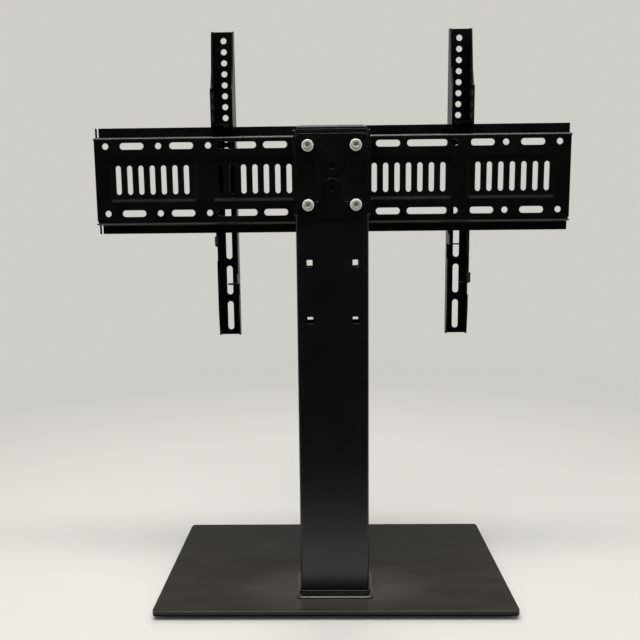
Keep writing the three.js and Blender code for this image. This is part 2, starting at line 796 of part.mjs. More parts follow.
// Edge of an arm's flange seen from the side, in Y and Z, with the ear at the given height
function flangeOutline(earTop, waistHeight) {
  const nearLips = lipFront + lipRunGap;
  const slotRear = lipRear - lipRunGap;
  const earBottom = earTop - earHeight;
  const at = (reach) => armFront - reach;
  const shape = new THREE.Shape();
  shape.moveTo(armFront, armBottom);
  shape.lineTo(armFront, armTop);
  shape.lineTo(armFront - sheet, armTop);
  shape.lineTo(at(armTopReach) + armEndCorner, armTop - armTopFall);
  shape.lineTo(at(armTopReach), armTop - armTopFall - armEndCorner);
  shape.lineTo(at(armShoulderReach), armTop - armShoulderDrop);
  shape.lineTo(at(armNeckReach), armTop - armNeckDrop);
  shape.lineTo(at(armHookReach), armTop - armHookStepDrop);
  shape.lineTo(at(armHookReach), hookTop - hookNoseLength + armEndCorner);
  shape.lineTo(at(armHookReach) + armEndCorner, hookTop - hookNoseLength);
  shape.lineTo(slotRear, hookTop - hookNoseLength);
  shape.lineTo(slotRear, hookTop);
  shape.lineTo(nearLips, hookTop);
  shape.lineTo(nearLips, earTop);
  shape.lineTo(at(earReach), earTop);
  shape.lineTo(at(earReach), earBottom);
  shape.lineTo(at(waistReach), earBottom);
  shape.lineTo(at(waistReach), earBottom - waistHeight);
  shape.lineTo(at(armTailReach), earBottom - waistHeight - sheet);
  shape.lineTo(at(armTailReach), armBottom + armTailRise);
  shape.lineTo(at(armBottomReach), armBottom + armEndCorner);
  shape.lineTo(at(armBottomReach) + armEndCorner, armBottom);
  shape.closePath();
  return shape;
}

// Arm: a U-shaped section cut to its side outlines, with ears, tabs, holes and slots
function buildArm(name, centre) {
  const half = armWidth / 2;
  const innerHalf = half - sheet;
  const deep = armFront - armHookReach - cutOverrun;
  const outerBend = bendRadius + sheet / 2;
  const innerBend = bendRadius - sheet / 2;
  const webRear = armFront - sheet;
  const section = new THREE.Shape();
  section.moveTo(-half, deep);
  section.lineTo(-innerHalf, deep);
  section.lineTo(-innerHalf, webRear - innerBend);
  section.absarc(innerBend - innerHalf, webRear - innerBend, innerBend, Math.PI, Math.PI / 2, true);
  section.lineTo(innerHalf - innerBend, webRear);
  section.absarc(innerHalf - innerBend, webRear - innerBend, innerBend, Math.PI / 2, 0, true);
  section.lineTo(innerHalf, deep);
  section.lineTo(half, deep);
  section.lineTo(half, armFront - outerBend);
  section.absarc(half - outerBend, armFront - outerBend, outerBend, 0, Math.PI / 2, false);
  section.lineTo(outerBend - half, armFront);
  section.absarc(outerBend - half, armFront - outerBend, outerBend, Math.PI / 2, Math.PI, false);
  section.closePath();
  const channel = solidOf(slab(section, 'lying', armBottom, armTop, bendSteps));

  const upperEarTop = lowerLipBottom - earGap;
  const lowerEarTop = upperEarTop - lowerEarDrop;
  const leftHalf = slab(flangeOutline(upperEarTop, upperWaistHeight), 'sideways', -half - cutOverrun, 0);
  const rightHalf = slab(flangeOutline(lowerEarTop, lowerWaistHeight), 'sideways', 0, half + cutOverrun);
  let arm = channel.intersect(solidOf(leftHalf).add(solidOf(rightHalf)));

  // A bridge over the upper lip, and a tab under each ear with a hole for a locking screw
  const bridgeRear = lipRear - bridgeDepth / 2;
  const bridge = slab(
    box(-innerHalf - sheet / 2, bridgeRear, innerHalf + sheet / 2, bridgeRear + bridgeDepth),
    'lying', hookTop, hookTop + sheet,
  );
  arm = arm.add(solidOf(bridge));
  for (const [side, earTop] of [[-1, upperEarTop], [1, lowerEarTop]]) {
    const outer = side * (half - sheet / 2);
    const inner = side * (half - earTabLength);
    const tabRear = armFront - earReach;
    const tabFront = armFront - waistReach;
    const tab = box(Math.min(outer, inner), tabRear, Math.max(outer, inner), tabFront);
    const holeX = (side * (innerHalf + half - earTabLength)) / 2;
    tab.holes = [disc(earTabHoleRadius, holeX, (tabRear + tabFront) / 2)];
    const bottom = earTop - earHeight;
    arm = arm.add(solidOf(slab(tab, 'lying', bottom, bottom + sheet, slotEndSteps)));
  }

  const rounds = [];
  for (let i = 0; i < armHoleCount; i += 1) {
    rounds.push(disc(armHoleRadius, 0, armTop - armHoleTopDrop - i * armHolePitch));
  }
  const slots = [];
  for (let i = 0; i < armSlotCount; i += 1) {
    const middle = armBottom + armSlotBottomRise + armSlotLength / 2 + i * armSlotPitch;
    slots.push(slot(armSlotLength, armSlotWidth, 0, middle, true));
  }
  const cutRear = webRear - cutOverrun;
  const cutFront = armFront + cutOverrun;
  arm = arm.subtract(solidOf(slab(rounds, 'facing', cutRear, cutFront, holeSteps)));
  arm = arm.subtract(solidOf(slab(slots, 'facing', cutRear, cutFront, slotEndSteps)));
  addPiece(name, geometryOf(arm), 'blackSteel', centre);
}

buildGlassBase();
buildFeet();
buildFootFixing();
buildColumn();
buildCap();
buildCollar();
buildClampPlate();
buildSaddle();
buildWallPlate();
buildFasteners();
buildArm('arm_left', armLeftCentre);
buildArm('arm_right', armRightCentre);

export default stand;
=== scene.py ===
# Television stand with a wall plate: finer pieces and finishes over the packed parts, and its stage.
# Lengths are in metres. X runs along the wall plate, +Y faces the television, +Z is up.
import math

import bmesh
import bpy
from bpy.props import FloatProperty, FloatVectorProperty, IntProperty, PointerProperty
from mathutils import Matrix, Vector
from mathutils.geometry import delaunay_2d_cdt


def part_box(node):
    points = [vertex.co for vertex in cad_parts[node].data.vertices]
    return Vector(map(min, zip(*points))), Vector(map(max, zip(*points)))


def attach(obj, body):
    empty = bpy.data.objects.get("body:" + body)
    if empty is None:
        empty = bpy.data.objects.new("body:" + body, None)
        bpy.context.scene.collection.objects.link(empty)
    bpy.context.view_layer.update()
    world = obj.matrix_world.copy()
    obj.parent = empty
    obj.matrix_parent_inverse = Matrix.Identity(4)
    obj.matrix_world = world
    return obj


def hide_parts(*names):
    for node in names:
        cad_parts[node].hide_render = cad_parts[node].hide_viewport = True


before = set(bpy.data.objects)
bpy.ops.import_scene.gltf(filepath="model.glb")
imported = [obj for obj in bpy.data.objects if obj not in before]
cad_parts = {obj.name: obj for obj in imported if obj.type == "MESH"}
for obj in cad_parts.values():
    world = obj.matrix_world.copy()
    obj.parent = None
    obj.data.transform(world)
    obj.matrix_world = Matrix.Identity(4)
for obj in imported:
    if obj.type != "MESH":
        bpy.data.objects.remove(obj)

bl_info = {
    "name": "Television Stand Dressing",
    "version": (1, 0, 0),
    "blender": (4, 5, 0),
    "location": "View3D > Sidebar > Stand",
    "description": "Folded steel, glass foot, fasteners, finishes and stage for a television stand",
    "category": "Object",
}

MM = 0.001
QUARTER = math.pi / 2

# How far before and after a bend a folded sheet has one more row of points
CREASE_GUARD = 0.0006

# Keeps a mitre short where an outline turns sharply
LEAST_MITRE = 0.8

# Room between a long screw and what is pushed or screwed on to it
FASTENER_GAP = 0.0003

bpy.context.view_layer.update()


def linear(code):
    """Turn an sRGB hex colour into the linear values that shaders take."""
    parts = [int(code[i:i + 2], 16) / 255 for i in (1, 3, 5)]
    return [p / 12.92 if p <= 0.04045 else ((p + 0.055) / 1.055) ** 2.4 for p in parts]


def length(name, description, default):
    """A length that the panel shows in the scene's units."""
    return FloatProperty(name=name, description=description, default=default, precision=5, unit="LENGTH")


def colour(name, description, code):
    """A colour that the panel shows as a swatch."""
    return FloatVectorProperty(name=name, description=description, default=linear(code), subtype="COLOR",
                               size=3, min=0.0, max=1.0)


class SheetSizes(bpy.types.PropertyGroup):
    """Sizes shared by the folded steel pieces."""

    thickness: length("Sheet", "Thickness of the folded steel", 0.002)
    edge_round: length("Edge round", "Radius left on the cut edges by the coating", 0.0003)
    blanked_round: length("Blanked round", "Radius that blanking leaves on clamp plate and saddle", 0.0006)
    plate_bend: length("Plate bend", "Bend radius of the wall plate, at mid sheet", 0.003)
    channel_bend: length("Channel bend", "Bend radius of arms and saddle, at mid sheet", 0.002)
    bolt_half_spacing: length("Bolt half spacing", "Half the distance across between the long screws", 0.0325)
    upper_bolt_height: length("Upper bolt height", "Height of the upper long screws", 0.6594)
    bolt_pitch: length("Bolt pitch", "Height between the two rows of long screws", 0.0793)
    bolt_hole_radius: length("Bolt hole radius", "Clearance hole for a long screw", 0.0044)


class PlateSizes(bpy.types.PropertyGroup):
    """Sizes of the wall plate's openings and pressed panels."""

    face_half: length("Face half length", "Half the length of the plate's face", 0.341)
    row_rise: length("Row rise", "Height of a row of slots above or below the pattern's middle", 0.0477)
    slot_height: length("Slot height", "Height of the lying slots", 0.0094)
    round_hole_radius: length("Round hole radius", "Radius of the round holes", 0.0045)
    grille_width: length("Grille slot width", "Width of an upright slot", 0.0075)
    grille_height: length("Grille slot height", "Height of an upright slot", 0.0412)
    grille_pitch: length("Grille pitch", "Distance between upright slots", 0.0164)
    grille_count: IntProperty(name="Grille slots", description="Upright slots in a group", default=7, min=1)
    panel_height: length("Panel height", "Height of the pressed panels", 0.0611)
    panel_drop: length("Panel drop", "Middle of the pressed panels below the pattern's middle", 0.00105)
    panel_sink: length("Panel depth", "How far the panels are pressed in", 0.0018)
    panel_slope: length("Panel slope", "Width of the slope around a pressed panel", 0.005)
    slit_width: length("Slit width", "Width of the slit near the left end of each lip", 0.0025)
    finger_width: length("Finger width", "Width of the finger left outside the slit", 0.0026)


class ArmSizes(bpy.types.PropertyGroup):
    """Sizes of the slotted arms."""

    hole_radius: length("Hole radius", "Radius of the round holes for the television's screws", 0.0044)
    hole_pitch: length("Hole pitch", "Distance between round holes", 0.01565)
    hole_count: IntProperty(name="Holes", description="Round holes in an arm", default=11, min=1)
    hole_top_drop: length("First hole", "First round hole below the arm's top", 0.0125)
    slot_width: length("Slot width", "Width of the upright slots", 0.009)
    slot_length: length("Slot length", "Length of the upright slots", 0.044)
    slot_pitch: length("Slot pitch", "Distance between upright slots", 0.0544)
    slot_count: IntProperty(name="Slots", description="Upright slots in an arm", default=4, min=1)
    slot_bottom_rise: length("Last slot", "Lowest slot's end above the arm's bottom", 0.0075)


class FastenerSizes(bpy.types.PropertyGroup):
    """Sizes of the long screws and what they hold."""

    shank_radius: length("Shank radius", "Radius of the long screws", 0.0039)
    head_radius: length("Head radius", "Radius of the round heads", 0.0065)
    head_height: length("Head height", "Height of the round heads", 0.008)
    socket_across: length("Socket", "Distance across the flats of the socket", 0.006)
    thread_pitch: length("Thread pitch", "Distance between thread crests", 0.00125)
    thread_length: length("Thread length", "Threaded part of the shank", 0.028)
    washer_radius: length("Washer radius", "Radius of the washers", 0.008)
    nut_across: length("Nut", "Distance across the flats of the nuts", 0.013)


class StageSettings(bpy.types.PropertyGroup):
    """Colours of the plain stage."""

    floor: colour("Floor", "Pale floor that the stand is on", "#d9d7d2")
    backdrop: colour("Backdrop", "Pale studio around the stand", "#cfcdc7")
    room: colour("Room", "Dim room behind the camera, seen only in reflections", "#1e1d1c")


SETTINGS = (
    ("stand_sheet", SheetSizes),
    ("stand_plate", PlateSizes),
    ("stand_arm", ArmSizes),
    ("stand_fastener", FastenerSizes),
    ("stand_stage", StageSettings),
)


# Outlines drawn flat

def circle(u, v, radius, count=32):
    """A round outline."""
    turns = [2 * math.pi * i / count for i in range(count)]
    return [(u + radius * math.cos(t), v + radius * math.sin(t)) for t in turns]


def arc(u, v, radius, start, end, steps):
    """Points along an arc between two angles in degrees, both ends included."""
    turns = [math.radians(start + (end - start) * i / steps) for i in range(steps + 1)]
    return [(u + radius * math.cos(t), v + radius * math.sin(t)) for t in turns]


def slot(u, v, long, wide, standing=False, steps=10):
    """A slot with round ends, lying or standing."""
    radius = wide / 2
    reach = long / 2 - radius
    if standing:
        return arc(u, v + reach, radius, 0, 180, steps) + arc(u, v - reach, radius, 180, 360, steps)
    return arc(u + reach, v, radius, -90, 90, steps) + arc(u - reach, v, radius, 90, 270, steps)


def rounded(corners, steps=4):
    """A closed outline from corners given as (u, v, corner radius).

    A nearly straight corner stays as it is, and a round takes at most just under half of its shorter side.
    """
    nearly_straight = math.pi - 0.02
    most_of_side = 0.49
    loop = []
    for i, (u, v, radius) in enumerate(corners):
        last = corners[i - 1]
        following = corners[(i + 1) % len(corners)]
        back = Vector((last[0] - u, last[1] - v))
        on = Vector((following[0] - u, following[1] - v))
        angle = back.angle(on)
        if radius == 0 or angle > nearly_straight:
            loop.append((u, v))
            continue
        cut = radius / math.tan(angle / 2)
        most = most_of_side * min(back.length, on.length)
        if cut > most:
            radius *= most / cut
            cut = most
        inward = (back.normalized() + on.normalized()).normalized()
        centre = Vector((u, v)) + inward * radius / math.sin(angle / 2)
        start = Vector((u, v)) + back.normalized() * cut - centre
        end = Vector((u, v)) + on.normalized() * cut - centre
        first = math.atan2(start.y, start.x)
        sweep = (math.atan2(end.y, end.x) - first + math.pi) % (2 * math.pi) - math.pi
        for k in range(steps + 1):
            turn = first + sweep * k / steps
            loop.append((centre.x + radius * math.cos(turn), centre.y + radius * math.sin(turn)))
    return loop


def round_box(left, bottom, right, top, radius, steps=4):
    """A rectangle with round corners, counter-clockwise."""
    corners = ((left, bottom), (right, bottom), (right, top), (left, top))
    return rounded([(u, v, radius) for u, v in corners], steps)


def wound(loop, forwards):
    """The same outline, running counter-clockwise when forwards is true."""
    area = sum(a[0] * b[1] - b[0] * a[1] for a, b in zip(loop, loop[1:] + loop[:1]))
    return loop if (area > 0) == forwards else loop[::-1]


def shifted(loop, distance):
    """The outline moved to its left by a distance, which is into the sheet for a wound outline or hole."""
    moved = []
    for i, (u, v) in enumerate(loop):
        last = loop[i - 1]
        following = loop[(i + 1) % len(loop)]
        a = Vector((u - last[0], v - last[1])).normalized()
        b = Vector((following[0] - u, following[1] - v)).normalized()
        total = Vector((-a.y - b.y, a.x + b.x))
        step = total * (2 * distance / max(total.length_squared, LEAST_MITRE))
        moved.append((u + step.x, v + step.y))
    return moved


def contains(loop, u, v):
    """Whether a point lies inside a closed outline."""
    inside = False
    au, av = loop[-1]
    for bu, bv in loop:
        if (av > v) != (bv > v) and u < (bu - au) * (v - av) / (bv - av) + au:
            inside = not inside
        au, av = bu, bv
    return inside


class FoldedLine:
    """A line of straight runs and square round bends, measured along its length."""

    def __init__(self, corners, radius):
        self.parts = []
        self.offsets = []
        self.bends = []
        travelled = 0.0
        for i in range(len(corners) - 1):
            here = Vector(corners[i])
            there = Vector(corners[i + 1])
            heading = (there - here).normalized()
            before = radius if i else 0.0
            after = radius if i < len(corners) - 2 else 0.0
            run = (there - here).length - before - after
            self.offsets.append(travelled - before)
            self.parts.append((travelled, travelled + run, here + heading * before, heading, 0.0, radius))
            travelled += run
            if after:
                onward = (Vector(corners[i + 2]) - there).normalized()
                turn = 1.0 if heading.cross(onward) > 0 else -1.0
                bend = radius * QUARTER
                start = there - heading * after
                self.bends.append((travelled, travelled + bend))
                self.parts.append((travelled, travelled + bend, start, heading, turn, radius))
                travelled += bend
        self.length = travelled

    def on(self, run, distance):
        """The length at a distance from the corner where a straight run would start."""
        return self.offsets[run] + distance

    def at(self, travelled):
        """Point and left-hand normal at a length."""
        part = next((p for p in self.parts if travelled <= p[1]), self.parts[-1])
        begin, _, origin, heading, turn, radius = part
        normal = Vector((-heading.y, heading.x))
        if not turn:
            return origin + heading * (travelled - begin), normal
        angle = turn * (travelled - begin) / radius
        turned_normal = Matrix.Rotation(angle, 2) @ normal
        return origin + normal * turn * radius - turned_normal * turn * radius, turned_normal

    def crease_lengths(self, steps=6):
        """Lengths at which the sheet needs a row of points to follow its bends."""
        rows = []
        for start, end in self.bends:
            rows.append(start - CREASE_GUARD)
            rows.extend(start + (end - start) * k / steps for k in range(steps + 1))
            rows.append(end + CREASE_GUARD)
        return rows

    def upright(self, u, v, h):
        """Place of a point on an upright sheet, u along the line, v up it and h out of its middle."""
        at, normal = self.at(u)
        return (at.x + normal.x * h, at.y + normal.y * h, v)

    def upright_creases(self, bottom, top, steps=6):
        """Rows of points up an upright sheet's bends."""
        return [[(u, bottom), (u, top)] for u in self.crease_lengths(steps)]


class Stock:
    """Points, normals and faces gathered for one piece."""

    def __init__(self):
        self.points = []
        self.normals = []
        self.faces = []

    def add(self, point, normal):
        self.points.append(point)
        self.normals.append(normal)
        return len(self.points) - 1


def cut_flat(rim, openings, creases):
    """Points and triangles of a flat pattern, clear of its openings and split along its creases."""
    coords = []
    edges = []
    for loop in [rim] + openings:
        first = len(coords)
        coords.extend(loop)
        edges.extend((first + i, first + (i + 1) % len(loop)) for i in range(len(loop)))
    for line in creases:
        first = len(coords)
        coords.extend(line)
        edges.extend((first + i, first + i + 1) for i in range(len(line) - 1))
    fill_all = 0
    merge_within = 1e-7
    flat, _, cuts, _, _, _ = delaunay_2d_cdt([Vector(c) for c in coords], edges, [], fill_all, merge_within)
    flat = [(p.x, p.y) for p in flat]
    spans = [(min(p[0] for p in o), max(p[0] for p in o), min(p[1] for p in o), max(p[1] for p in o), o)
             for o in openings]

    def is_kept(u, v):
        if not contains(rim, u, v):
            return False
        return not any(a < u < b and c < v < d and contains(o, u, v) for a, b, c, d, o in spans)

    kept = []
    for a, b, c in cuts:
        (au, av), (bu, bv), (cu, cv) = flat[a], flat[b], flat[c]
        if is_kept((au + bu + cu) / 3, (av + bv + cv) / 3):
            ahead = (bu - au) * (cv - av) - (bv - av) * (cu - au)
            kept.append((a, b, c) if ahead > 0 else (a, c, b))
    return flat, kept


def add_sheet(stock, rim, holes, place, half, edge, creases=(), steps=2):
    """Cut a flat pattern with its holes, round its edges, and fold it with place(u, v, height).

    The rim is already moved in by the edge radius. The holes are true outlines.
    """
    flat, kept = cut_flat(rim, [shifted(wound(hole, False), edge) for hole in holes], creases)

    def spot(u, v, h):
        return Vector(place(u, v, h))

    # A step short enough to give the fold's direction at a point
    near = 5e-5

    def square(u, v, h):
        along = spot(u + near, v, h) - spot(u - near, v, h)
        up = spot(u, v + near, h) - spot(u, v - near, h)
        return along.cross(up).normalized()

    u, v = flat[kept[0][0]]
    sense = 1 if square(u, v, 0).dot(spot(u, v, half) - spot(u, v, -half)) > 0 else -1

    # Points that fold onto each other to a thousandth of a millimetre, as along a tube's seam, are one point
    same = {}
    front = {}
    back = {}
    canonical = {}
    for index in sorted({i for triangle in kept for i in triangle}):
        u, v = flat[index]
        here = spot(u, v, half)
        key = tuple(round(x, 6) for x in here)
        if key not in same:
            same[key] = index
            front[index] = stock.add(here, square(u, v, half) * sense)
            back[index] = stock.add(spot(u, v, -half), square(u, v, -half) * -sense)
        canonical[index] = same[key]

    rims = {}
    for triangle in kept:
        a, b, c = (canonical[i] for i in triangle)
        stock.faces.append((front[a], front[b], front[c]) if sense > 0 else (front[a], front[c], front[b]))
        stock.faces.append((back[a], back[c], back[b]) if sense > 0 else (back[a], back[b], back[c]))
        for i, j in ((0, 1), (1, 2), (2, 0)):
            rims[(canonical[triangle[i]], canonical[triangle[j]])] = (flat[triangle[i]], flat[triangle[j]])
    rims = {pair: ends for pair, ends in rims.items() if (pair[1], pair[0]) not in rims}

    # Each rim point leaves the sheet along the average of its two edges
    leaving = {}
    for (a, b), (start, end) in rims.items():
        side = Vector((end[1] - start[1], start[0] - end[0])).normalized()
        for index, at in ((a, start), (b, end)):
            leaving.setdefault(index, []).append((side, at))
    rows = {}
    for index, sides in leaving.items():
        total = sides[0][0] + sides[-1][0]
        out = total * (2 / max(total.length_squared, LEAST_MITRE))
        u, v = sides[0][1]
        column = [front[index]]
        for face in (1, -1):
            turns = range(1, steps + 1) if face > 0 else range(steps, 0, -1)
            for k in turns:
                angle = QUARTER * k / steps
                outset = edge * math.sin(angle)
                height = face * (half - edge * (1 - math.cos(angle)))
                here = spot(u + out.x * outset, v + out.y * outset, height)
                normal = square(u, v, height) * sense * face
                away = (spot(u + out.x * near, v + out.y * near, height) - spot(u, v, height)).normalized()
                away = (away - normal * away.dot(normal)).normalized()
                outward = (normal * math.cos(angle) + away * math.sin(angle)).normalized()
                column.append(stock.add(here, outward))
        column.append(back[index])
        rows[index] = column
    for a, b in rims:
        for k in range(2 * steps + 1):
            quad = (rows[a][k], rows[a][k + 1], rows[b][k + 1], rows[b][k])
            stock.faces.append(quad if sense > 0 else quad[::-1])


def link_object(name, data):
    """A new object in the scene, with its mesh, light or camera."""
    made = bpy.data.objects.new(name, data)
    bpy.context.collection.objects.link(made)
    return made


def sheet_piece(name, stock, material, slot_name, body, node):
    """Turn gathered stock into a piece, shaded by its own normals, and dress it."""
    mesh = bpy.data.meshes.new(name)
    mesh.from_pydata(stock.points, [], stock.faces)
    mesh.validate()
    mesh.shade_smooth()
    mesh.normals_split_custom_set_from_vertices(stock.normals)
    dress(link_object(name, mesh), finish(material), slot_name, body, node)


def loft_object(name, rings, closed=False, sharp=40):
    """A skin through rings of points.

    A ring of one point is a tip, and a closed skin joins its last ring to its first.
    """
    shape = bmesh.new()
    made = [[shape.verts.new(p) for p in ring] for ring in rings]
    pairs = list(zip(made, made[1:] + made[:1])) if closed else list(zip(made, made[1:]))
    for low, high in pairs:
        count = max(len(low), len(high))
        for i in range(count):
            j = (i + 1) % count
            corners = [low[i % len(low)], low[j % len(low)], high[j % len(high)], high[i % len(high)]]
            shape.faces.new(list(dict.fromkeys(corners)))
    if not closed:
        for ring in (made[0], made[-1]):
            if len(ring) > 2:
                shape.faces.new(ring)
    bmesh.ops.recalc_face_normals(shape, faces=shape.faces)
    mesh = bpy.data.meshes.new(name)
    shape.to_mesh(mesh)
    shape.free()
    mesh.shade_smooth()
    mesh.set_sharp_from_angle(angle=math.radians(sharp))
    return link_object(name, mesh)


def dress(piece, material, slot_name, body, *nodes):
    """Give a finished piece its material, unless it has one, its body and the packed parts it stands for."""
    if material:
        piece.data.materials.clear()
        piece.data.materials.append(material)
    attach(piece, body)
    if nodes:
        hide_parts(*nodes)


# Finishes

def add_node(tree, kind, inputs=None, **settings):
    """Add a node with its settings, and fill or link its inputs by name or number.

    A node given for an input is linked by the first output that it has in use.
    """
    node = tree.nodes.new(kind)
    for name, value in settings.items():
        setattr(node, name, value)
    for name, value in (inputs or {}).items():
        if isinstance(value, bpy.types.Node):
            value = next(output for output in value.outputs if output.enabled)
        if isinstance(value, bpy.types.NodeSocket):
            tree.links.new(value, node.inputs[name])
        else:
            node.inputs[name].default_value = value
    return node


def new_material(name):
    """A material with an empty node tree, the tree, and the place on the piece that its patterns follow."""
    found = bpy.data.materials.get(name)
    if found:
        bpy.data.materials.remove(found)
    material = bpy.data.materials.new(name)
    material.use_nodes = True
    tree = material.node_tree
    tree.nodes.clear()
    return material, tree, add_node(tree, "ShaderNodeTexCoord").outputs["Object"]


def cloud_and_grain(tree, place, codes, window, cloud, grain):
    """A tone that drifts between two colours in clouds, then the clouds, and a fine grain.

    The clouds and the grain are given as (size, detail, roughness). The window says how strong a cloud has
    to be for the first colour to start to turn, and to have become the second.
    """
    clouds, grains = (add_node(tree, "ShaderNodeTexNoise", {
        "Vector": place, "Scale": 1 / size, "Detail": detail, "Roughness": roughness,
    }) for size, detail, roughness in (cloud, grain))
    share = add_node(tree, "ShaderNodeMapRange", {
        "Value": clouds, "From Min": window[0], "From Max": window[1],
    })
    first, second = ((*linear(code), 1) for code in codes)
    tone = add_node(tree, "ShaderNodeMix", {0: share, 6: first, 7: second}, data_type="RGBA")
    return tone, clouds, grains


def shade(tree, tone, uneven, gloss, grain, strength, depth, settings):
    """Add the shader, with roughness between two limits as an uneven noise has it, and a grain in relief."""
    dull = add_node(tree, "ShaderNodeMapRange", {
        "Value": uneven, "From Min": 0.3, "From Max": 0.7, "To Min": gloss[0], "To Max": gloss[1],
    })
    bump = add_node(tree, "ShaderNodeBump", {"Height": grain, "Strength": strength, "Distance": depth})
    shader = add_node(tree, "ShaderNodeBsdfPrincipled", {
        "Base Color": tone, "Roughness": dull, "Normal": bump, **settings,
    })
    add_node(tree, "ShaderNodeOutputMaterial", {"Surface": shader})


def powder_coat(name, codes, roughness, spread, peel_size, shine):
    """Powder-coated mild steel: baked on, so it has a fine orange peel and a soft, even sheen."""
    material, tree, place = new_material(name)
    tone, clouds, peel = cloud_and_grain(tree, place, codes, (0.35, 0.7), (45 * MM, 3.0, 0.5),
                                         (peel_size, 2.0, 0.6))
    # Dust as specks of about 0.5 mm, drawn twice as coarse as real ones so that they show
    dust = add_node(tree, "ShaderNodeTexNoise", {"Vector": place, "Scale": 1 / (1.1 * MM), "Detail": 1.0})
    speck = add_node(tree, "ShaderNodeMapRange", {
        "Value": dust, "From Min": 0.7, "From Max": 0.78, "To Max": 0.3,
    })
    dusty = add_node(tree, "ShaderNodeMix", {0: speck, 6: tone, 7: (*linear("#4a4946"), 1)}, data_type="RGBA")
    shade(tree, dusty, clouds, (roughness - spread, roughness + spread), peel, 0.1, 0.05 * MM,
          {"IOR": 1.5, "Specular IOR Level": shine})
    return material


def glass_dust_and_painted_shade(tree, place, spot, top):
    """How much dust lies at a spot on the glass: a film with wiping smears, and specks, with less film
    towards the television side as painted shade.
    """
    stretched = add_node(tree, "ShaderNodeMapping", {
        "Vector": place, "Rotation": (0, 0, 0.5), "Scale": (1, 4, 1),
    })
    smear = add_node(tree, "ShaderNodeTexNoise", {
        "Vector": stretched, "Scale": 1 / (90 * MM), "Detail": 4.0, "Roughness": 0.6,
    })
    film = add_node(tree, "ShaderNodeMapRange", {
        "Value": smear, "From Min": 0.4, "From Max": 0.7, "To Min": 0.25, "To Max": 0.36,
    })
    # Dust specks of about 0.4 mm, drawn coarser so that they show
    dust = add_node(tree, "ShaderNodeTexNoise", {
        "Vector": place, "Scale": 1 / (1.6 * MM), "Detail": 2.0, "Roughness": 0.7,
    })
    speck = add_node(tree, "ShaderNodeMapRange", {
        "Value": dust, "From Min": 0.70, "From Max": 0.76,
    })
    # A cloth doesn't reach the glass close around the collar, so more dust stays there, in an oval twice as
    # wide as it is deep
    low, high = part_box("foot_collar")
    centred = add_node(tree, "ShaderNodeMapping", {
        "Vector": place, "Location": (-(low.x + high.x) / 2, -(low.y + high.y), 0), "Scale": (1, 2, 0),
    })
    away = add_node(tree, "ShaderNodeVectorMath", {0: centred}, operation="LENGTH")
    unwiped = add_node(tree, "ShaderNodeMapRange", {
        "Value": away, "From Min": 0.07, "From Max": 0.15, "To Min": 0.34, "To Max": 0,
    })
    film = add_node(tree, "ShaderNodeMath", {0: film, 1: unwiped}, operation="ADD")
    amount = add_node(tree, "ShaderNodeMath", {
        0: speck, 1: 0.4, 2: film,
    }, operation="MULTIPLY_ADD", use_clamp=True)
    # It lies on the top face only, and fades towards the television side, which darkens the glass there as
    # painted shade
    low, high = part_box("glass_base")
    painted_far_shade = add_node(tree, "ShaderNodeMapRange", {
        "Value": spot["Y"], "From Min": low.y, "From Max": high.y, "To Min": 1, "To Max": 0.6,
    })
    for share in (top, painted_far_shade):
        amount = add_node(tree, "ShaderNodeMath", {0: amount, 1: share}, operation="MULTIPLY")
    return amount


def polished_glass():
    """Black toughened float glass, polished: mirror-like under a thin film of dust."""
    material, tree, place = new_material("black_toughened_glass")
    low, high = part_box("glass_base")
    spot = add_node(tree, "ShaderNodeSeparateXYZ", {0: place}).outputs
    top = add_node(tree, "ShaderNodeMapRange", {
        "Value": spot["Z"], "From Min": high.z - 0.25 * MM, "From Max": high.z - 0.05 * MM,
    })
    amount = glass_dust_and_painted_shade(tree, place, spot, top)

    # Up the ground edge: a black lower bevel, which is painted shade, a dark face, a pale upper bevel, which
    # is a painted highlight, then the polished top
    share = add_node(tree, "ShaderNodeMapRange", {"Value": spot["Z"], "From Min": low.z, "From Max": high.z})
    edge_tone_and_painted_light = add_node(tree, "ShaderNodeValToRGB", {0: share})
    stops = edge_tone_and_painted_light.color_ramp.elements
    stops.remove(stops[1])
    # Black up to 0.3 of the height is painted shade, and the pale band from 0.9 to 0.95 is a painted
    # highlight
    stops[0].position = 0.3
    stops[0].color = (*linear("#010101"), 1)
    for position, code in ((0.36, "#0c0c0f"), (0.86, "#0c0c0f"), (0.9, "#45433f"), (0.95, "#45433f"),
                           (1, "#050505")):
        stops.new(position).color = (*linear(code), 1)
    tone = add_node(tree, "ShaderNodeMix", {
        0: amount, 6: edge_tone_and_painted_light, 7: (*linear("#56514a"), 1),
    }, data_type="RGBA")

    # The ground edge is dull, and so is the top where dust lies
    edge = add_node(tree, "ShaderNodeMapRange", {
        "Value": spot["Z"], "From Min": high.z - 0.4 * MM, "From Max": high.z - 0.1 * MM,
        "To Min": 1, "To Max": 0,
    })
    dull = add_node(tree, "ShaderNodeMath", {0: edge, 1: amount}, operation="MAXIMUM")
    rough = add_node(tree, "ShaderNodeMapRange", {"Value": dull, "To Min": 0.03, "To Max": 0.28})

    # The ground edge shines above its lower bevel, where its shine is cut to keep the painted shade black,
    # and the polished top a little
    lit = add_node(tree, "ShaderNodeMapRange", {
        "Value": spot["Z"], "From Min": low.z + 2.4 * MM, "From Max": low.z + 3 * MM,
        "To Min": 0.02, "To Max": 0.3,
    })
    shine = add_node(tree, "ShaderNodeMath", {0: top, 1: -0.235, 2: lit}, operation="MULTIPLY_ADD")
    shader = add_node(tree, "ShaderNodeBsdfPrincipled", {
        "Base Color": tone, "Roughness": rough, "Specular IOR Level": shine, "IOR": 1.52,
    })
    add_node(tree, "ShaderNodeOutputMaterial", {"Surface": shader})
    return material


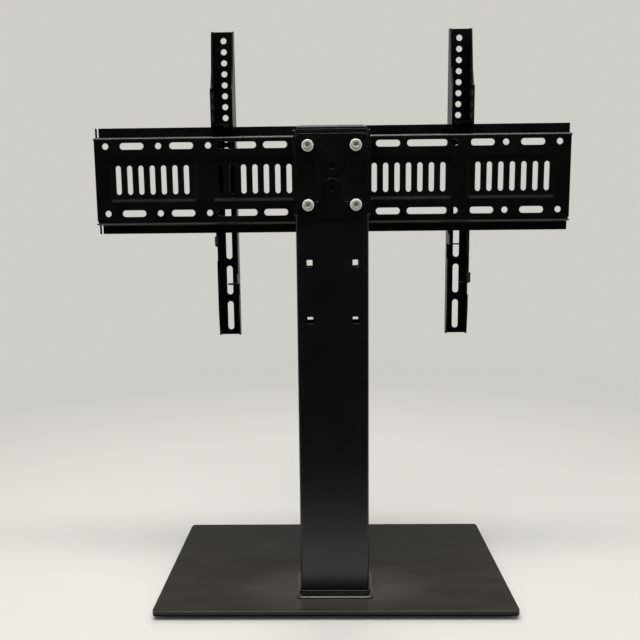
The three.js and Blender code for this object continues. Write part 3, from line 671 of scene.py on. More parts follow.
def moulded_plastic():
    """Black ABS from a finely eroded mould: a soft shine on its rounds, with a faint pebbled texture."""
    material, tree, place = new_material("moulded_abs")
    tone, clouds, pebble = cloud_and_grain(tree, place, ("#0f0f10", "#151516"), (0.3, 0.7),
                                           (30 * MM, 2.0, 0.5), (0.9 * MM, 2.0, 0.6))
    shade(tree, tone, clouds, (0.19, 0.25), pebble, 0.12, 0.05 * MM, {"IOR": 1.53})
    return material


def zinc_plate(name, codes, metallic):
    """Zinc plate over turned or blanked steel: a cool metal shine, a little uneven, with fine lines."""
    material, tree, place = new_material(name)
    tone, _, fine = cloud_and_grain(tree, place, codes, (0.3, 0.7), (3 * MM, 3.0, 0.5), (0.4 * MM, 2.0, 0.5))
    # The metal isn't a full one: part of it is shaded as matt, so that its pale colour stands in for the
    # bright surroundings that real zinc mirrors, a painted reflection
    shade(tree, tone, fine, (0.32, 0.5), fine, 0.15, 0.02 * MM, {"Metallic": metallic})
    return material


def moulded_rubber():
    """Moulded EPDM rubber: dull and nearly black, with a faint bloom."""
    material, tree, place = new_material("moulded_rubber")
    tone, _, grain = cloud_and_grain(tree, place, ("#101010", "#232322"), (0.4, 0.75), (6 * MM, 3.0, 0.5),
                                     (0.6 * MM, 2.0, 0.5))
    shade(tree, tone, grain, (0.75, 0.9), grain, 0.2, 0.05 * MM, {"IOR": 1.52})
    return material


FINISHES = {}


def finish(name):
    """A finish, made the first time that it is asked for."""
    makers = {
        "plate": lambda: powder_coat("black_powder_coat", ("#040404", "#080808"), 0.31, 0.03, 0.8 * MM, 0.5),
        "arm": lambda: powder_coat("matt_powder_coat", ("#030303", "#060606"), 0.36, 0.03, 0.8 * MM, 0.24),
        "column": lambda: powder_coat("satin_powder_coat", ("#060608", "#08080b"), 0.33, 0.02, 0.7 * MM, 0.8),
        "glass": polished_glass,
        "plastic": moulded_plastic,
        "zinc": lambda: zinc_plate("dull_zinc_plate", ("#d8d7d0", "#b9b8af"), 0.45),
        # The washers take a lighter, less metallic copy of the zinc, a painted highlight for their lit rims
        "washer": lambda: zinc_plate("zinc_plate_painted_highlight", ("#fbfaf6", "#efeeea"), 0.2),
        "rubber": moulded_rubber,
    }
    if name not in FINISHES:
        FINISHES[name] = makers[name]()
    return FINISHES[name]


# Holes that the wall plate, the saddle and the clamp plate share

def screw_holes(sheet, side, middle=0.0):
    """Outlines of the two holes for the long screws on one side of a middle."""
    across = middle + side * sheet.bolt_half_spacing
    upper = sheet.upper_bolt_height
    return [circle(across, height, sheet.bolt_hole_radius) for height in (upper, upper - sheet.bolt_pitch)]


# Wall plate. Its openings lie alike on both sides of its middle.

PLATE_HEIGHT = 0.1238
PATTERN_DROP = 0.0603
ROUND_HOLE_CENTRES = (0.1768, 0.2485, 0.3247)
SLOT_CENTRES_AND_LENGTHS = ((0.0807, 0.0346), (0.1367, 0.0578), (0.2153, 0.0343), (0.2868, 0.0345))
GRILLE_CENTRES = (0.1104, 0.2588)
PANEL_ENDS = ((-0.3213, -0.1933), (-0.1727, 0.1727), (0.1933, 0.3213))
PANEL_CORNER = 0.005

# Share of a panel's slope that is rounded at its top and at its foot
SLOPE_ROUND = 0.16


def plate_heights():
    """Bottom of the wall plate's face, middle of its openings, and its top, flush with the column's."""
    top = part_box("column")[1].z
    return top - PLATE_HEIGHT, top - PATTERN_DROP, top


def plate_profile(sheet):
    """Section of the wall plate in Y and Z, at the middle of its sheet, from the lower lip's edge upwards."""
    low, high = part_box("wall_plate")
    bottom, _, top = plate_heights()
    half = sheet.thickness / 2
    face = low.y + half
    lip = high.y - half
    return FoldedLine([
        (lip, low.z),
        (lip, bottom + half),
        (face, bottom + half),
        (face, top - half),
        (lip, top - half),
        (lip, high.z),
    ], sheet.plate_bend)


def plate_outline(line, rise, plate, lip):
    """Edge of the wall plate's flat pattern, with a slit near the left end of each lip."""
    bottom, _, top = plate_heights()
    face = plate.face_half
    radius = 0.0008
    # The face and the rear of the flanges are shorter than the lips
    lower_step = line.on(1, 0.0125)
    upper_step = line.on(3, 0.0105)
    lower_cut = 0.0026
    upper_cut = 0.001
    cut_low = rise(bottom + 0.0065)
    cut_high = rise(top - 0.0026)
    right = [
        (lip, 0, radius), (lip, lower_step, radius), (face - lower_cut, lower_step, radius),
        (face - lower_cut, line.bends[1][0], 0), (face, cut_low, radius), (face, cut_high, radius),
        (face - upper_cut, line.bends[2][1], 0), (face - upper_cut, upper_step, radius),
        (lip, upper_step, radius), (lip, line.length, radius),
    ]
    left = [(-u, v, r) for u, v, r in reversed(right)]

    # A slit starts at its lip's edge and stops inside the lip's bend
    stop = 0.0025
    outer = lip - plate.finger_width
    inner = outer - plate.slit_width

    def slit(ends):
        return [(-u, v, radius) for u, v in ends]

    upper_end = line.bends[3][0] + stop
    lower_end = line.bends[0][1] - stop
    upper = slit([(inner, line.length), (inner, upper_end), (outer, upper_end), (outer, line.length)])
    lower = slit([(outer, 0), (outer, lower_end), (inner, lower_end), (inner, 0)])
    return rounded(right + upper + left + lower, 5)


def plate_openings(sheet, plate):
    """Outlines of the wall plate's holes and slots in X and Z."""
    _, middle, _ = plate_heights()
    loops = []
    for side in (-1, 1):
        loops.extend(screw_holes(sheet, side))
        for rise in (-plate.row_rise, plate.row_rise):
            for centre in ROUND_HOLE_CENTRES:
                loops.append(circle(side * centre, middle + rise, plate.round_hole_radius))
            for centre, long in SLOT_CENTRES_AND_LENGTHS:
                loops.append(slot(side * centre, middle + rise, long, plate.slot_height))
        for centre in GRILLE_CENTRES:
            for i in range(plate.grille_count):
                x = side * centre + (i - (plate.grille_count - 1) / 2) * plate.grille_pitch
                loops.append(slot(x, middle, plate.grille_height, plate.grille_width, True))
    return loops


def pressed(plate, panel_middle, x, z):
    """How far the pressed panels stand out of the face at a point."""
    half_high = plate.panel_height / 2
    for start, end in PANEL_ENDS:
        across = abs(x - (start + end) / 2) - ((end - start) / 2 - PANEL_CORNER)
        up = abs(z - panel_middle) - (half_high - PANEL_CORNER)
        outside = math.hypot(max(across, 0), max(up, 0)) + min(max(across, up), 0) - PANEL_CORNER
        share = -outside / plate.panel_slope
        if share > SLOPE_ROUND:
            # A straight slope with a small round at its top and foot
            share = min(share, 1 + SLOPE_ROUND)
            if share > 1 - SLOPE_ROUND:
                return plate.panel_sink * (1 - (1 + SLOPE_ROUND - share) ** 2 / (4 * SLOPE_ROUND))
            return plate.panel_sink * share
        if share > -SLOPE_ROUND:
            return plate.panel_sink * (share + SLOPE_ROUND) ** 2 / (4 * SLOPE_ROUND)
    return 0.0


def panel_creases(plate, panel_middle, rise):
    """Closed lines around each pressed panel, close together where its slope turns."""
    half_high = plate.panel_height / 2
    least_corner = 0.0008
    # Seven lines across each of the slope's two rounds, the outer ones just past the round
    insets = sorted((turn + share * SLOPE_ROUND) * plate.panel_slope
                    for share in (-1.6, -1, -0.5, 0, 0.5, 1, 1.6) for turn in (0, 1))
    creases = []
    for start, end in PANEL_ENDS:
        for inset in insets:
            ring = round_box(start + inset, panel_middle - half_high + inset,
                             end - inset, panel_middle + half_high - inset,
                             max(PANEL_CORNER - inset, least_corner), 6)
            ring = [(u, rise(z)) for u, z in ring]
            creases.append(ring + ring[:1])
    return creases


def make_wall_plate(context):
    """Press and fold the wall plate from one sheet."""
    sheet = context.scene.stand_sheet
    plate = context.scene.stand_plate
    line = plate_profile(sheet)
    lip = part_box("wall_plate")[1].x
    bottom, middle, _ = plate_heights()
    panel_middle = middle - plate.panel_drop
    half = sheet.thickness / 2
    edge = sheet.edge_round
    face_start = line.bends[1][1]
    face_end = line.bends[2][0]

    def rise(z):
        return line.on(2, z - (bottom + half))

    def place(u, v, h):
        at, normal = line.at(v)
        push = pressed(plate, panel_middle, u, at.y) if face_start < v < face_end else 0.0
        return (u, at.x + push + normal.x * h, at.y + normal.y * h)

    rim = shifted(wound(plate_outline(line, rise, plate, lip), True), edge)
    holes = [[(u, rise(z)) for u, z in loop] for loop in plate_openings(sheet, plate)]
    creases = [[(-lip - MM, v), (lip + MM, v)] for v in line.crease_lengths()]
    creases.extend(panel_creases(plate, panel_middle, rise))
    stock = Stock()
    add_sheet(stock, rim, holes, place, half, edge, creases)
    sheet_piece("pressed_wall_plate", stock, "plate", "black_steel", "stand", "wall_plate")


# Arms. A flange's edge is drawn by its reach back from the web's face.

FLANGE_REACH = 0.045
HOOK_DROP = 0.1383
EAR_REACH = 0.033
EAR_HEIGHT = 0.0155
EAR_GAP = 0.0052
LOWER_EAR_DROP = 0.0566
TAB_FOLD_RISE = 0.003
TAB_RUN = 0.012

# Middle of the thin cut that frees a tab from its flange
TAB_CUT_REACH = 0.0132


def arm_edge(hook_top, top, bottom, ear_top, fold, waist):
    """Free edge of one flange as (reach, height, corner radius), from the top down."""
    nose = hook_top - 0.0127
    nose_reach = 0.039
    groove_end = 0.0244
    groove_start = 0.0216
    cut_end = 0.0137
    cut_start = 0.0127
    leg_reach = 0.0185
    ear_bottom = ear_top - EAR_HEIGHT
    # The tab's bend is a quarter of a circle of 2 mm, so its length is pi mm
    tip = fold - (math.pi * MM + TAB_RUN)
    return [
        (0.0035, top, 0.001), (0.015, top - 0.0032, 0.0025), (0.024, top - 0.059, 0.003),
        (EAR_REACH, top - 0.0845, 0.003), (nose_reach, top - 0.0875, 0.0015),
        (nose_reach, nose, 0.0022), (groove_end, nose, 0.0006), (groove_end, hook_top, 0.0006),
        (groove_start, hook_top, 0.0006), (groove_start, ear_top, 0.0012), (EAR_REACH, ear_top, 0.0012),
        (EAR_REACH, tip, 0.003), (cut_end, tip, 0.003), (cut_end, fold, 0.0004), (cut_start, fold, 0.0004),
        (cut_start, ear_bottom - waist, 0.0012), (leg_reach, ear_bottom - waist - 0.002, 0.0012),
        (leg_reach, bottom + 0.04, 0.006), (0.013, bottom, 0.0025),
    ]


def make_arm(context, node, name, body):
    """Fold one slotted arm, with its hook, ears and tabs."""
    sheet = context.scene.stand_sheet
    arm = context.scene.stand_arm
    low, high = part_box(node)
    centre = (low.x + high.x) / 2
    half = sheet.thickness / 2
    edge = sheet.edge_round
    front = high.y
    bottom = low.z
    top = high.z
    hook_top = top - HOOK_DROP
    wide = (high.x - low.x) / 2 - half
    rear = front - FLANGE_REACH
    line = FoldedLine([(-wide, rear), (-wide, front - half), (wide, front - half), (wide, rear)],
                      sheet.channel_bend)
    upper_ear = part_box("wall_plate")[0].z - EAR_GAP
    ears = {-1: upper_ear, 1: upper_ear - LOWER_EAR_DROP}
    folds = {side: ear - EAR_HEIGHT + TAB_FOLD_RISE for side, ear in ears.items()}
    waists = {-1: 0.020, 1: 0.017}

    def across(side, reach):
        return FLANGE_REACH - reach if side < 0 else line.length - FLANGE_REACH + reach

    corners = []
    for side in (1, -1):
        run = [(across(side, reach), height, radius) for reach, height, radius
               in arm_edge(hook_top, top, bottom, ears[side], folds[side], waists[side])]
        corners.extend(run if side < 0 else reversed(run))
    rim = shifted(wound(rounded(corners, 4), True), edge)

    # A tab under each ear is folded in under the channel, and ends less than most_past below its fold
    fold_radius = sheet.channel_bend
    bend = fold_radius * QUARTER
    most_past = 0.0165
    tab_hole_reach = 0.02285
    tab_hole_drop = 0.0055
    tab_hole_radius = 0.0025

    def place(u, v, h):
        side = -1 if u < line.length / 2 else 1
        reach = FLANGE_REACH - u if side < 0 else u - line.length + FLANGE_REACH
        past = folds[side] - v
        if reach > TAB_CUT_REACH and 0 < past < most_past:
            bent = min(past / fold_radius, QUARTER)
            out = fold_radius + h
            run = max(past - bend, 0)
            x = side * (wide - fold_radius + out * math.cos(bent) - run)
            return (centre + x, front - reach, folds[side] + out * -math.sin(bent))
        x, y, z = line.upright(u, v, h)
        return (centre + x, y, z)

    creases = line.upright_creases(bottom - MM, top + MM)
    holes = []
    for side in (-1, 1):
        ends = sorted((across(side, TAB_CUT_REACH), across(side, EAR_REACH + 0.0005)))
        for drop in [-CREASE_GUARD] + [bend * k / 6 for k in range(7)] + [bend + CREASE_GUARD]:
            creases.append([(ends[0], folds[side] - drop), (ends[1], folds[side] - drop)])
        hole_height = folds[side] - bend - tab_hole_drop
        holes.append(circle(across(side, tab_hole_reach), hole_height, tab_hole_radius, 24))
    middle = line.length / 2
    for i in range(arm.hole_count):
        holes.append(circle(middle, top - arm.hole_top_drop - i * arm.hole_pitch, arm.hole_radius))
    for i in range(arm.slot_count):
        height = bottom + arm.slot_bottom_rise + arm.slot_length / 2 + i * arm.slot_pitch
        holes.append(slot(middle, height, arm.slot_length, arm.slot_width, True))
    stock = Stock()
    add_sheet(stock, rim, holes, place, half, edge, creases)

    # The bridge that rests on the upper lip is welded between the flanges
    bridge_start = 0.013
    bridge = round_box(-wide, front - EAR_REACH, wide, front - bridge_start, 0.001)
    level = hook_top + half
    add_sheet(stock, shifted(bridge, edge), [], lambda u, v, h: (centre + u, v, level + h), half, edge)
    sheet_piece(name, stock, "arm", "black_steel", body, node)


# Column and what is clamped to it

def make_column(context):
    """Fold and close the column's tube, with its square holes."""
    sheet = context.scene.stand_sheet
    low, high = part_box("column")
    half = sheet.thickness / 2
    edge = sheet.edge_round
    wide = high.x - half
    front = high.y - half
    rear = low.y + half
    bend_radius = 0.0022
    line = FoldedLine([(0, front), (wide, front), (wide, rear), (low.x + half, rear), (low.x + half, front),
                       (0, front)], bend_radius)
    bottom = low.z + edge
    top = high.z - edge
    rim = [(0, bottom), (line.length, bottom), (line.length, top), (0, top)]
    x = sheet.bolt_half_spacing
    reach = 0.00475
    corner = 0.0009
    holes = []
    for row in range(4):
        v = sheet.upper_bolt_height - row * sheet.bolt_pitch
        for u in (line.on(0, x), line.on(4, wide - x), line.on(2, wide - x), line.on(2, wide + x)):
            holes.append(round_box(u - reach, v - reach, u + reach, v + reach, corner))
    stock = Stock()
    add_sheet(stock, rim, holes, line.upright, half, edge, line.upright_creases(bottom, top, 8))
    sheet_piece("column_tube", stock, "column", "column_steel", "stand", "column")


def make_saddle(context):
    """Fold the saddle that straddles the column."""
    sheet = context.scene.stand_sheet
    low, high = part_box("saddle_bracket")
    half = sheet.thickness / 2
    edge = sheet.blanked_round
    wide = high.x - half
    line = FoldedLine([(-wide, low.y), (-wide, high.y - half), (wide, high.y - half), (wide, low.y)],
                      sheet.channel_bend)
    rim = shifted(wound(round_box(0, low.z, line.length, high.z, 0.0025, 6), True), edge)
    holes = [hole for side in (-1, 1) for hole in screw_holes(sheet, side, line.length / 2)]
    creases = line.upright_creases(low.z - MM, high.z + MM, 8)
    stock = Stock()
    add_sheet(stock, rim, holes, line.upright, half, edge, creases, steps=4)
    sheet_piece("saddle_sheet", stock, "plate", "black_steel", "stand", "saddle_bracket")


def make_clamp_plate(context):
    """Cut the clamp plate, with its window and two tongues."""
    sheet = context.scene.stand_sheet
    low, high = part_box("clamp_plate")
    half = (high.y - low.y) / 2
    depth = (high.y + low.y) / 2
    edge = sheet.blanked_round
    slot_width = 0.005
    end = slot_width / 2
    window_half = 0.0225
    root = window_half - slot_width
    floor = low.z + 0.0213
    ceiling = floor + 0.0657
    middle = (floor + ceiling) / 2
    tongue_radius = 0.0135
    tongue_gap = 0.0023
    upper = middle + tongue_radius + tongue_gap / 2
    lower = middle - tongue_radius - tongue_gap / 2
    waist = 75.6

    def plain(points):
        return [(u, v, 0) for u, v in points]

    window = rounded(
        [(-window_half, floor, 0.0008), (-root, floor, 0.001)]
        + plain(arc(0, lower, tongue_radius, 90 + waist, 90 - waist, 20))
        + [(root, floor, 0.001), (window_half, floor, 0.0008)]
        + plain(arc(window_half - end, ceiling - end, end, 0, 180, 10))
        + plain(arc(0, upper, tongue_radius, waist - 90, -waist - 90, 20))
        + plain(arc(end - window_half, ceiling - end, end, 0, 180, 10)))
    tongue_hole = 0.0038
    holes = [window, circle(0, upper, tongue_hole), circle(0, lower, tongue_hole)]
    for side in (-1, 1):
        holes.extend(screw_holes(sheet, side))
    rim = shifted(round_box(low.x, low.z, high.x, high.z, 0.0075, 10), edge)
    stock = Stock()
    add_sheet(stock, rim, holes, lambda u, v, h: (u, depth - h, v), half, edge, steps=4)
    sheet_piece("clamp_sheet", stock, "plate", "black_steel", "stand", "clamp_plate")


# Moulded and glass pieces. A moulding's section is steps of (width, depth, corner radius, height).

def softened(section, rounds, steps=5, guard=0.00012):
    """A section with chosen corners rounded, given as a radius for each step's number."""
    most_of_side = 0.88
    result = []
    count = len(section)
    for i, here in enumerate(section):
        radius = rounds.get(i, 0)
        if not radius:
            result.append(here)
            continue
        before = section[i - 1]
        after = section[(i + 1) % count]

        def toward(other, distance):
            gap = math.hypot((other[0] - here[0]) / 2, other[3] - here[3])
            share = min(distance / gap, most_of_side)
            return tuple(a + (b - a) * share for a, b in zip(here, other))

        start = toward(before, radius)
        end = toward(after, radius)
        result.append(toward(before, radius + guard))
        for k in range(steps + 1):
            t = k / steps
            # A quarter round, drawn as a rational curve between its two tangent points
            weights = ((1 - t) ** 2, 2 * t * (1 - t) * math.sqrt(0.5), t ** 2)
            total = sum(weights)
            result.append(tuple((weights[0] * a + weights[1] * b + weights[2] * c) / total
                                for a, b, c in zip(start, here, end)))
        result.append(toward(after, radius + guard))
    return result


def moulding(name, node, section, rounds, closed):
    """A moulding from its section, about the middle of a packed part, which it stands for."""
    low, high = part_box(node)
    x = (low.x + high.x) / 2
    y = (low.y + high.y) / 2
    rings = []
    for wide, deep, radius, height in softened(section, rounds):
        loop = round_box(x - wide / 2, y - deep / 2, x + wide / 2, y + deep / 2, radius, 6)
        rings.append([(u, v, height) for u, v in loop])
    piece = loft_object(name, rings, closed=closed)
    dress(piece, finish("plastic"), "moulded_plastic", "stand", node)


def make_collar():
    """Mould the collar around the column's foot."""
    low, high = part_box("foot_collar")
    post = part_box("column")
    clearance = 0.0006
    lip_wall = 0.0038
    bore_wide = post[1].x - post[0].x + clearance
    bore_deep = post[1].y - post[0].y + clearance
    lip_wide = bore_wide + lip_wall
    lip_deep = bore_deep + lip_wall
    wide = high.x - low.x
    deep = high.y - low.y
    chamfer = 0.005
    flange = low.z + 0.0032
    section = [
        (bore_wide, bore_deep, 0.0034, low.z),
        (wide, deep, 0.0055, low.z),
        (wide, deep, 0.0055, flange - 0.0016),
        (wide - chamfer, deep - chamfer, 0.005, flange),
        (lip_wide, lip_deep, 0.005, flange),
        (lip_wide, lip_deep, 0.005, high.z),
        (bore_wide, bore_deep, 0.0034, high.z),
    ]
    rounds = {0: 0.0001, 1: 0.0002, 2: 0.0005, 3: 0.0008, 4: 0.0002, 5: 0.001, 6: 0.0003}
    moulding("skirt_collar", "foot_collar", section, rounds, True)


def make_cap():
    """Mould the hollow cap in the top of the column."""
    low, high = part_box("column_cap")
    wide = high.x - low.x
    deep = high.y - low.y
    wall = 0.004
    inner_wide = wide - wall
    inner_deep = deep - wall
    section = [
        (inner_wide - 0.002, inner_deep - 0.002, 0.0022, high.z - 0.004),
        (inner_wide, inner_deep, 0.0024, high.z - 0.0045),
        (inner_wide, inner_deep, 0.0024, low.z),
        (wide, deep, 0.0032, low.z),
        (wide, deep, 0.0032, high.z - 0.003),
        (wide - 0.006, deep - 0.006, 0.0032, high.z),
        (wide - 0.014, deep - 0.014, 0.003, high.z),
    ]
    moulding("end_cap", "column_cap", section, {2: 0.0003, 3: 0.0004, 4: 0.0012, 5: 0.0016}, False)


def make_glass_foot():
    """Cut the glass foot, polish its edges and drill it for the column's screws."""
    low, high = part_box("glass_base")
    half = (high.z - low.z) / 2
    middle = (high.z + low.z) / 2
    edge = 0.0012
    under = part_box("underside_plate")
    y = (under[0].y + under[1].y) / 2
    screw_across = 0.032
    screw_deep = 0.012
    hole_radius = 0.0045
    holes = [circle(right * screw_across, y + ahead * screw_deep, hole_radius)
             for right in (-1, 1) for ahead in (-1, 1)]
    rim = shifted(round_box(low.x, low.y, high.x, high.y, 0.006, 12), edge)
    stock = Stock()
    add_sheet(stock, rim, holes, lambda u, v, h: (u, v, middle + h), half, edge, steps=4)
    sheet_piece("glass_foot", stock, "glass", "black_glass", "stand", "glass_base")


# Turned pieces, drawn once about an axis and set out four at a time

def turned_ring(radius, height, count, axis, sides=0, ridge=0.0):
    """A ring about an axis.

    With sides it is a polygon across its flats, and a ridge makes every second point prouder.
    """
    if radius == 0:
        return [(0, height, 0) if axis == "Y" else (0, 0, height)]
    ring = []
    for i in range(count):
        turn = 2 * math.pi * i / count
        reach = radius
        if sides:
            part = 2 * math.pi / sides
            reach = radius / math.cos((turn + part / 2) % part - part / 2)
        if ridge and i % 2:
            reach -= ridge
        u = reach * math.cos(turn)
        v = reach * math.sin(turn)
        ring.append((u, height, v) if axis == "Y" else (u, v, height))
    return ring


def turned_piece(name, steps, count, axis, closed=False, sharp=40):
    """A turned master piece from (radius, height) steps, some with their sides and ridge after these."""
    rings = [turned_ring(step[0], step[1], count, axis, *step[2:]) for step in steps]
    return loft_object(name, rings, closed=closed, sharp=sharp)


def corner_tree():
    """Geometry nodes that set one piece out at the corners of a rectangle."""
    tree = bpy.data.node_groups.get("four_corners")
    if tree:
        return tree
    tree = bpy.data.node_groups.new("four_corners", "GeometryNodeTree")
    face = tree.interface
    face.new_socket("Geometry", in_out="INPUT", socket_type="NodeSocketGeometry")
    face.new_socket("Piece", in_out="INPUT", socket_type="NodeSocketObject")
    for label in ("Spacing across", "Spacing other way", "Tilt"):
        face.new_socket(label, in_out="INPUT", socket_type="NodeSocketFloat")
    face.new_socket("Middle", in_out="INPUT", socket_type="NodeSocketVector")
    face.new_socket("Finish", in_out="INPUT", socket_type="NodeSocketMaterial")
    face.new_socket("Geometry", in_out="OUTPUT", socket_type="NodeSocketGeometry")
    given = add_node(tree, "NodeGroupInput").outputs
    grid = add_node(tree, "GeometryNodeMeshGrid", {
        "Size X": given["Spacing across"], "Size Y": given["Spacing other way"],
        "Vertices X": 2, "Vertices Y": 2,
    })
    tilt = add_node(tree, "ShaderNodeCombineXYZ", {"X": given["Tilt"]})
    stood = add_node(tree, "GeometryNodeTransform", {
        "Geometry": grid.outputs[0], "Rotation": tilt, "Translation": given["Middle"],
    })
    source = add_node(tree, "GeometryNodeObjectInfo", {"Object": given["Piece"]}, transform_space="ORIGINAL")
    copies = add_node(tree, "GeometryNodeInstanceOnPoints", {
        "Points": stood, "Instance": source.outputs["Geometry"],
    })
    real = add_node(tree, "GeometryNodeRealizeInstances", {"Geometry": copies})
    coated = add_node(tree, "GeometryNodeSetMaterial", {"Geometry": real, "Material": given["Finish"]})
    add_node(tree, "NodeGroupOutput", {"Geometry": coated})
    return tree


def set_out(name, master, across, other, middle, material, tilt=0.0):
    """Set a master piece out at four corners and return the finished plain mesh object."""
    tree = corner_tree()
    holder = link_object(name, bpy.data.meshes.new(name))
    values = {"Piece": master, "Spacing across": across, "Spacing other way": other, "Tilt": tilt,
              "Middle": middle, "Finish": material}
    modifier = holder.modifiers.new("Set out", "NODES")
    modifier.node_group = tree
    for item in tree.interface.items_tree:
        if item.in_out == "INPUT" and item.name in values:
            modifier[item.identifier] = values[item.name]
    holder.update_tag()
    ready = holder.evaluated_get(bpy.context.evaluated_depsgraph_get())
    mesh = bpy.data.meshes.new_from_object(ready)
    bpy.data.objects.remove(holder)
    bpy.data.objects.remove(master)
    mesh.name = name
    return link_object(name, mesh)


def set_at_screws(context, name, master, node, material):
    """Set a fastener out at the four long screws, in the depth of the packed parts that it stands for."""
    sheet = context.scene.stand_sheet
    names = [node + corner for corner in ("upper_left", "upper_right", "lower_left", "lower_right")]
    middle = (0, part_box(names[0])[0].y, sheet.upper_bolt_height - sheet.bolt_pitch / 2)
    across = 2 * sheet.bolt_half_spacing
    piece = set_out(name, master, across, sheet.bolt_pitch, middle, finish(material), QUARTER)
    dress(piece, None, "zinc", "stand", *names)


def make_long_screws(context):
    """Turn the long screws with their sockets, knurled heads and threads."""
    sizes = context.scene.stand_fastener
    low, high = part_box("bolt_upper_left")
    total = high.y - low.y
    head = sizes.head_radius
    tall = sizes.head_height
    flat = sizes.socket_across / 2
    shank = sizes.shank_radius
    knurl = 0.00022
    socket = [
        (0, 0.0046), (flat, 0.004, 6), (flat, 0.0002, 6), (flat + 0.0003, 0.0, 6), (flat + 0.0007, 0.0),
    ]
    outside = [
        (head - 0.0011, 0.0), (head - 0.0007, 0.0001), (head - 0.0003, 0.0004), (head - 0.00005, 0.0009),
        (head, 0.0014, 0, knurl), (head, tall - 0.0010, 0, knurl), (head, tall - 0.0007),
        (head - 0.0002, tall - 0.0001), (head - 0.0005, tall), (shank + 0.0005, tall), (shank, tall + 0.0006),
    ]
    thread_start = total - sizes.thread_length
    plain_end = 0.0015
    crest_share = 0.45
    thread = [(shank, thread_start)]
    for i in range(int((sizes.thread_length - plain_end) / sizes.thread_pitch)):
        at = thread_start + (i + 0.5) * sizes.thread_pitch
        thread.extend([(shank - 0.0005, at), (shank, at + crest_share * sizes.thread_pitch)])
    tip = [(shank - 0.001, total - 0.0002), (shank - 0.0013, total), (0, total)]
    master = turned_piece("screw_master", socket + outside + thread + tip, 60, "Y", sharp=32)
    set_at_screws(context, "long_screws", master, "bolt_", "zinc")


def make_washers(context):
    """Blank the washers, each with a round on its rim."""
    sizes = context.scene.stand_fastener
    bore = sizes.shank_radius + FASTENER_GAP
    rim = sizes.washer_radius
    for name, node in (("rear_washers", "rear_washer_"), ("front_washers", "front_washer_")):
        low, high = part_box(node + "upper_left")
        thick = high.y - low.y
        steps = [
            (bore, 0.0002), (bore + 0.0002, 0), (rim - 0.0005, 0), (rim - 0.0003, 0.00004),
            (rim - 0.0001, 0.0002), (rim, 0.0005), (rim, thick - 0.0005), (rim - 0.0001, thick - 0.0002),
            (rim - 0.0003, thick - 0.00004), (rim - 0.0005, thick), (bore + 0.0002, thick),
            (bore, thick - 0.0002),
        ]
        master = turned_piece("washer_master", steps, 48, "Y", closed=True)
        set_at_screws(context, name, master, node, "washer")


def make_nuts(context):
    """Make the hexagon nuts, chamfered at both faces."""
    sizes = context.scene.stand_fastener
    low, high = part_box("nut_upper_left")
    thick = high.y - low.y
    flat = sizes.nut_across / 2
    bore = sizes.shank_radius + FASTENER_GAP
    steps = [
        (bore, 0.0008), (bore + 0.0006, 0), (flat - 0.0004, 0), (flat, 0.0007, 6), (flat, thick - 0.0007, 6),
        (flat - 0.0004, thick), (bore + 0.0006, thick), (bore, thick - 0.0008),
    ]
    master = turned_piece("nut_master", steps, 48, "Y", closed=True, sharp=25)
    set_at_screws(context, "hexagon_nuts", master, "nut_", "zinc")


def set_under_glass(name, master, node, material):
    """Set a fixing out at four places under the glass, where the packed parts that it stands for lie."""
    names = [node + end + "_" + side for end in ("rear", "front") for side in ("left", "right")]
    low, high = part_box(names[0])
    first = (low + high) / 2
    last = sum(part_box(names[-1]), Vector()) / 2
    middle = ((first.x + last.x) / 2, (first.y + last.y) / 2, low.z)
    piece = set_out(name, master, last.x - first.x, last.y - first.y, middle, finish(material))
    dress(piece, None, material, "stand", *names)


def make_rubber_feet():
    """Mould the round rubber feet, each with a raised ring underneath."""
    low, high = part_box("rubber_foot_rear_left")
    radius = (high.x - low.x) / 2
    tall = high.z
    steps = [
        (0, 0.0006), (radius - 0.006, 0.0006), (radius - 0.0054, 0.0001), (radius - 0.005, 0),
        (radius - 0.0012, 0), (radius - 0.0006, 0.00015), (radius - 0.0002, 0.0005), (radius, 0.0011),
        (radius, tall - 0.0006), (radius - 0.0003, tall - 0.0001), (radius - 0.0006, tall), (0, tall),
    ]
    master = turned_piece("foot_master", steps, 64, "Z")
    set_under_glass("rubber_feet", master, "rubber_foot_", "rubber")


def make_base_screws():
    """Turn the countersunk screws, and coat the plates that they join."""
    low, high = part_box("base_screw_rear_left")
    head = (high.x - low.x) / 2
    total = high.z - low.z
    shank = 0.0029
    flat = 0.002
    steps = [
        (0, 0.0019), (flat, 0.0016, 6), (flat, 0.0001, 6), (flat + 0.0002, 0, 6), (flat + 0.0007, 0),
        (head - 0.0002, 0), (head, 0.0002), (shank, 0.0027), (shank, total - 0.0008), (shank - 0.0008, total),
        (0, total),
    ]
    master = turned_piece("base_screw_master", steps, 48, "Z")
    set_under_glass("base_screws", master, "base_screw_", "zinc")
    for name in ("underside_plate", "column_foot_plate"):
        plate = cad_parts[name]
        plate.data.materials.clear()
        plate.data.materials.append(finish("plate"))


# Stage

def seen_rays(tree):
    """What is 1 for any ray that shows a surface to the camera, and what is 1 for a mirrored ray alone."""
    ray = add_node(tree, "ShaderNodeLightPath").outputs
    seen = ray["Is Camera Ray"]
    for name in ("Is Glossy Ray", "Is Transmission Ray"):
        seen = add_node(tree, "ShaderNodeMath", {0: seen, 1: ray[name]}, operation="MAXIMUM")
    return seen, ray["Is Glossy Ray"]


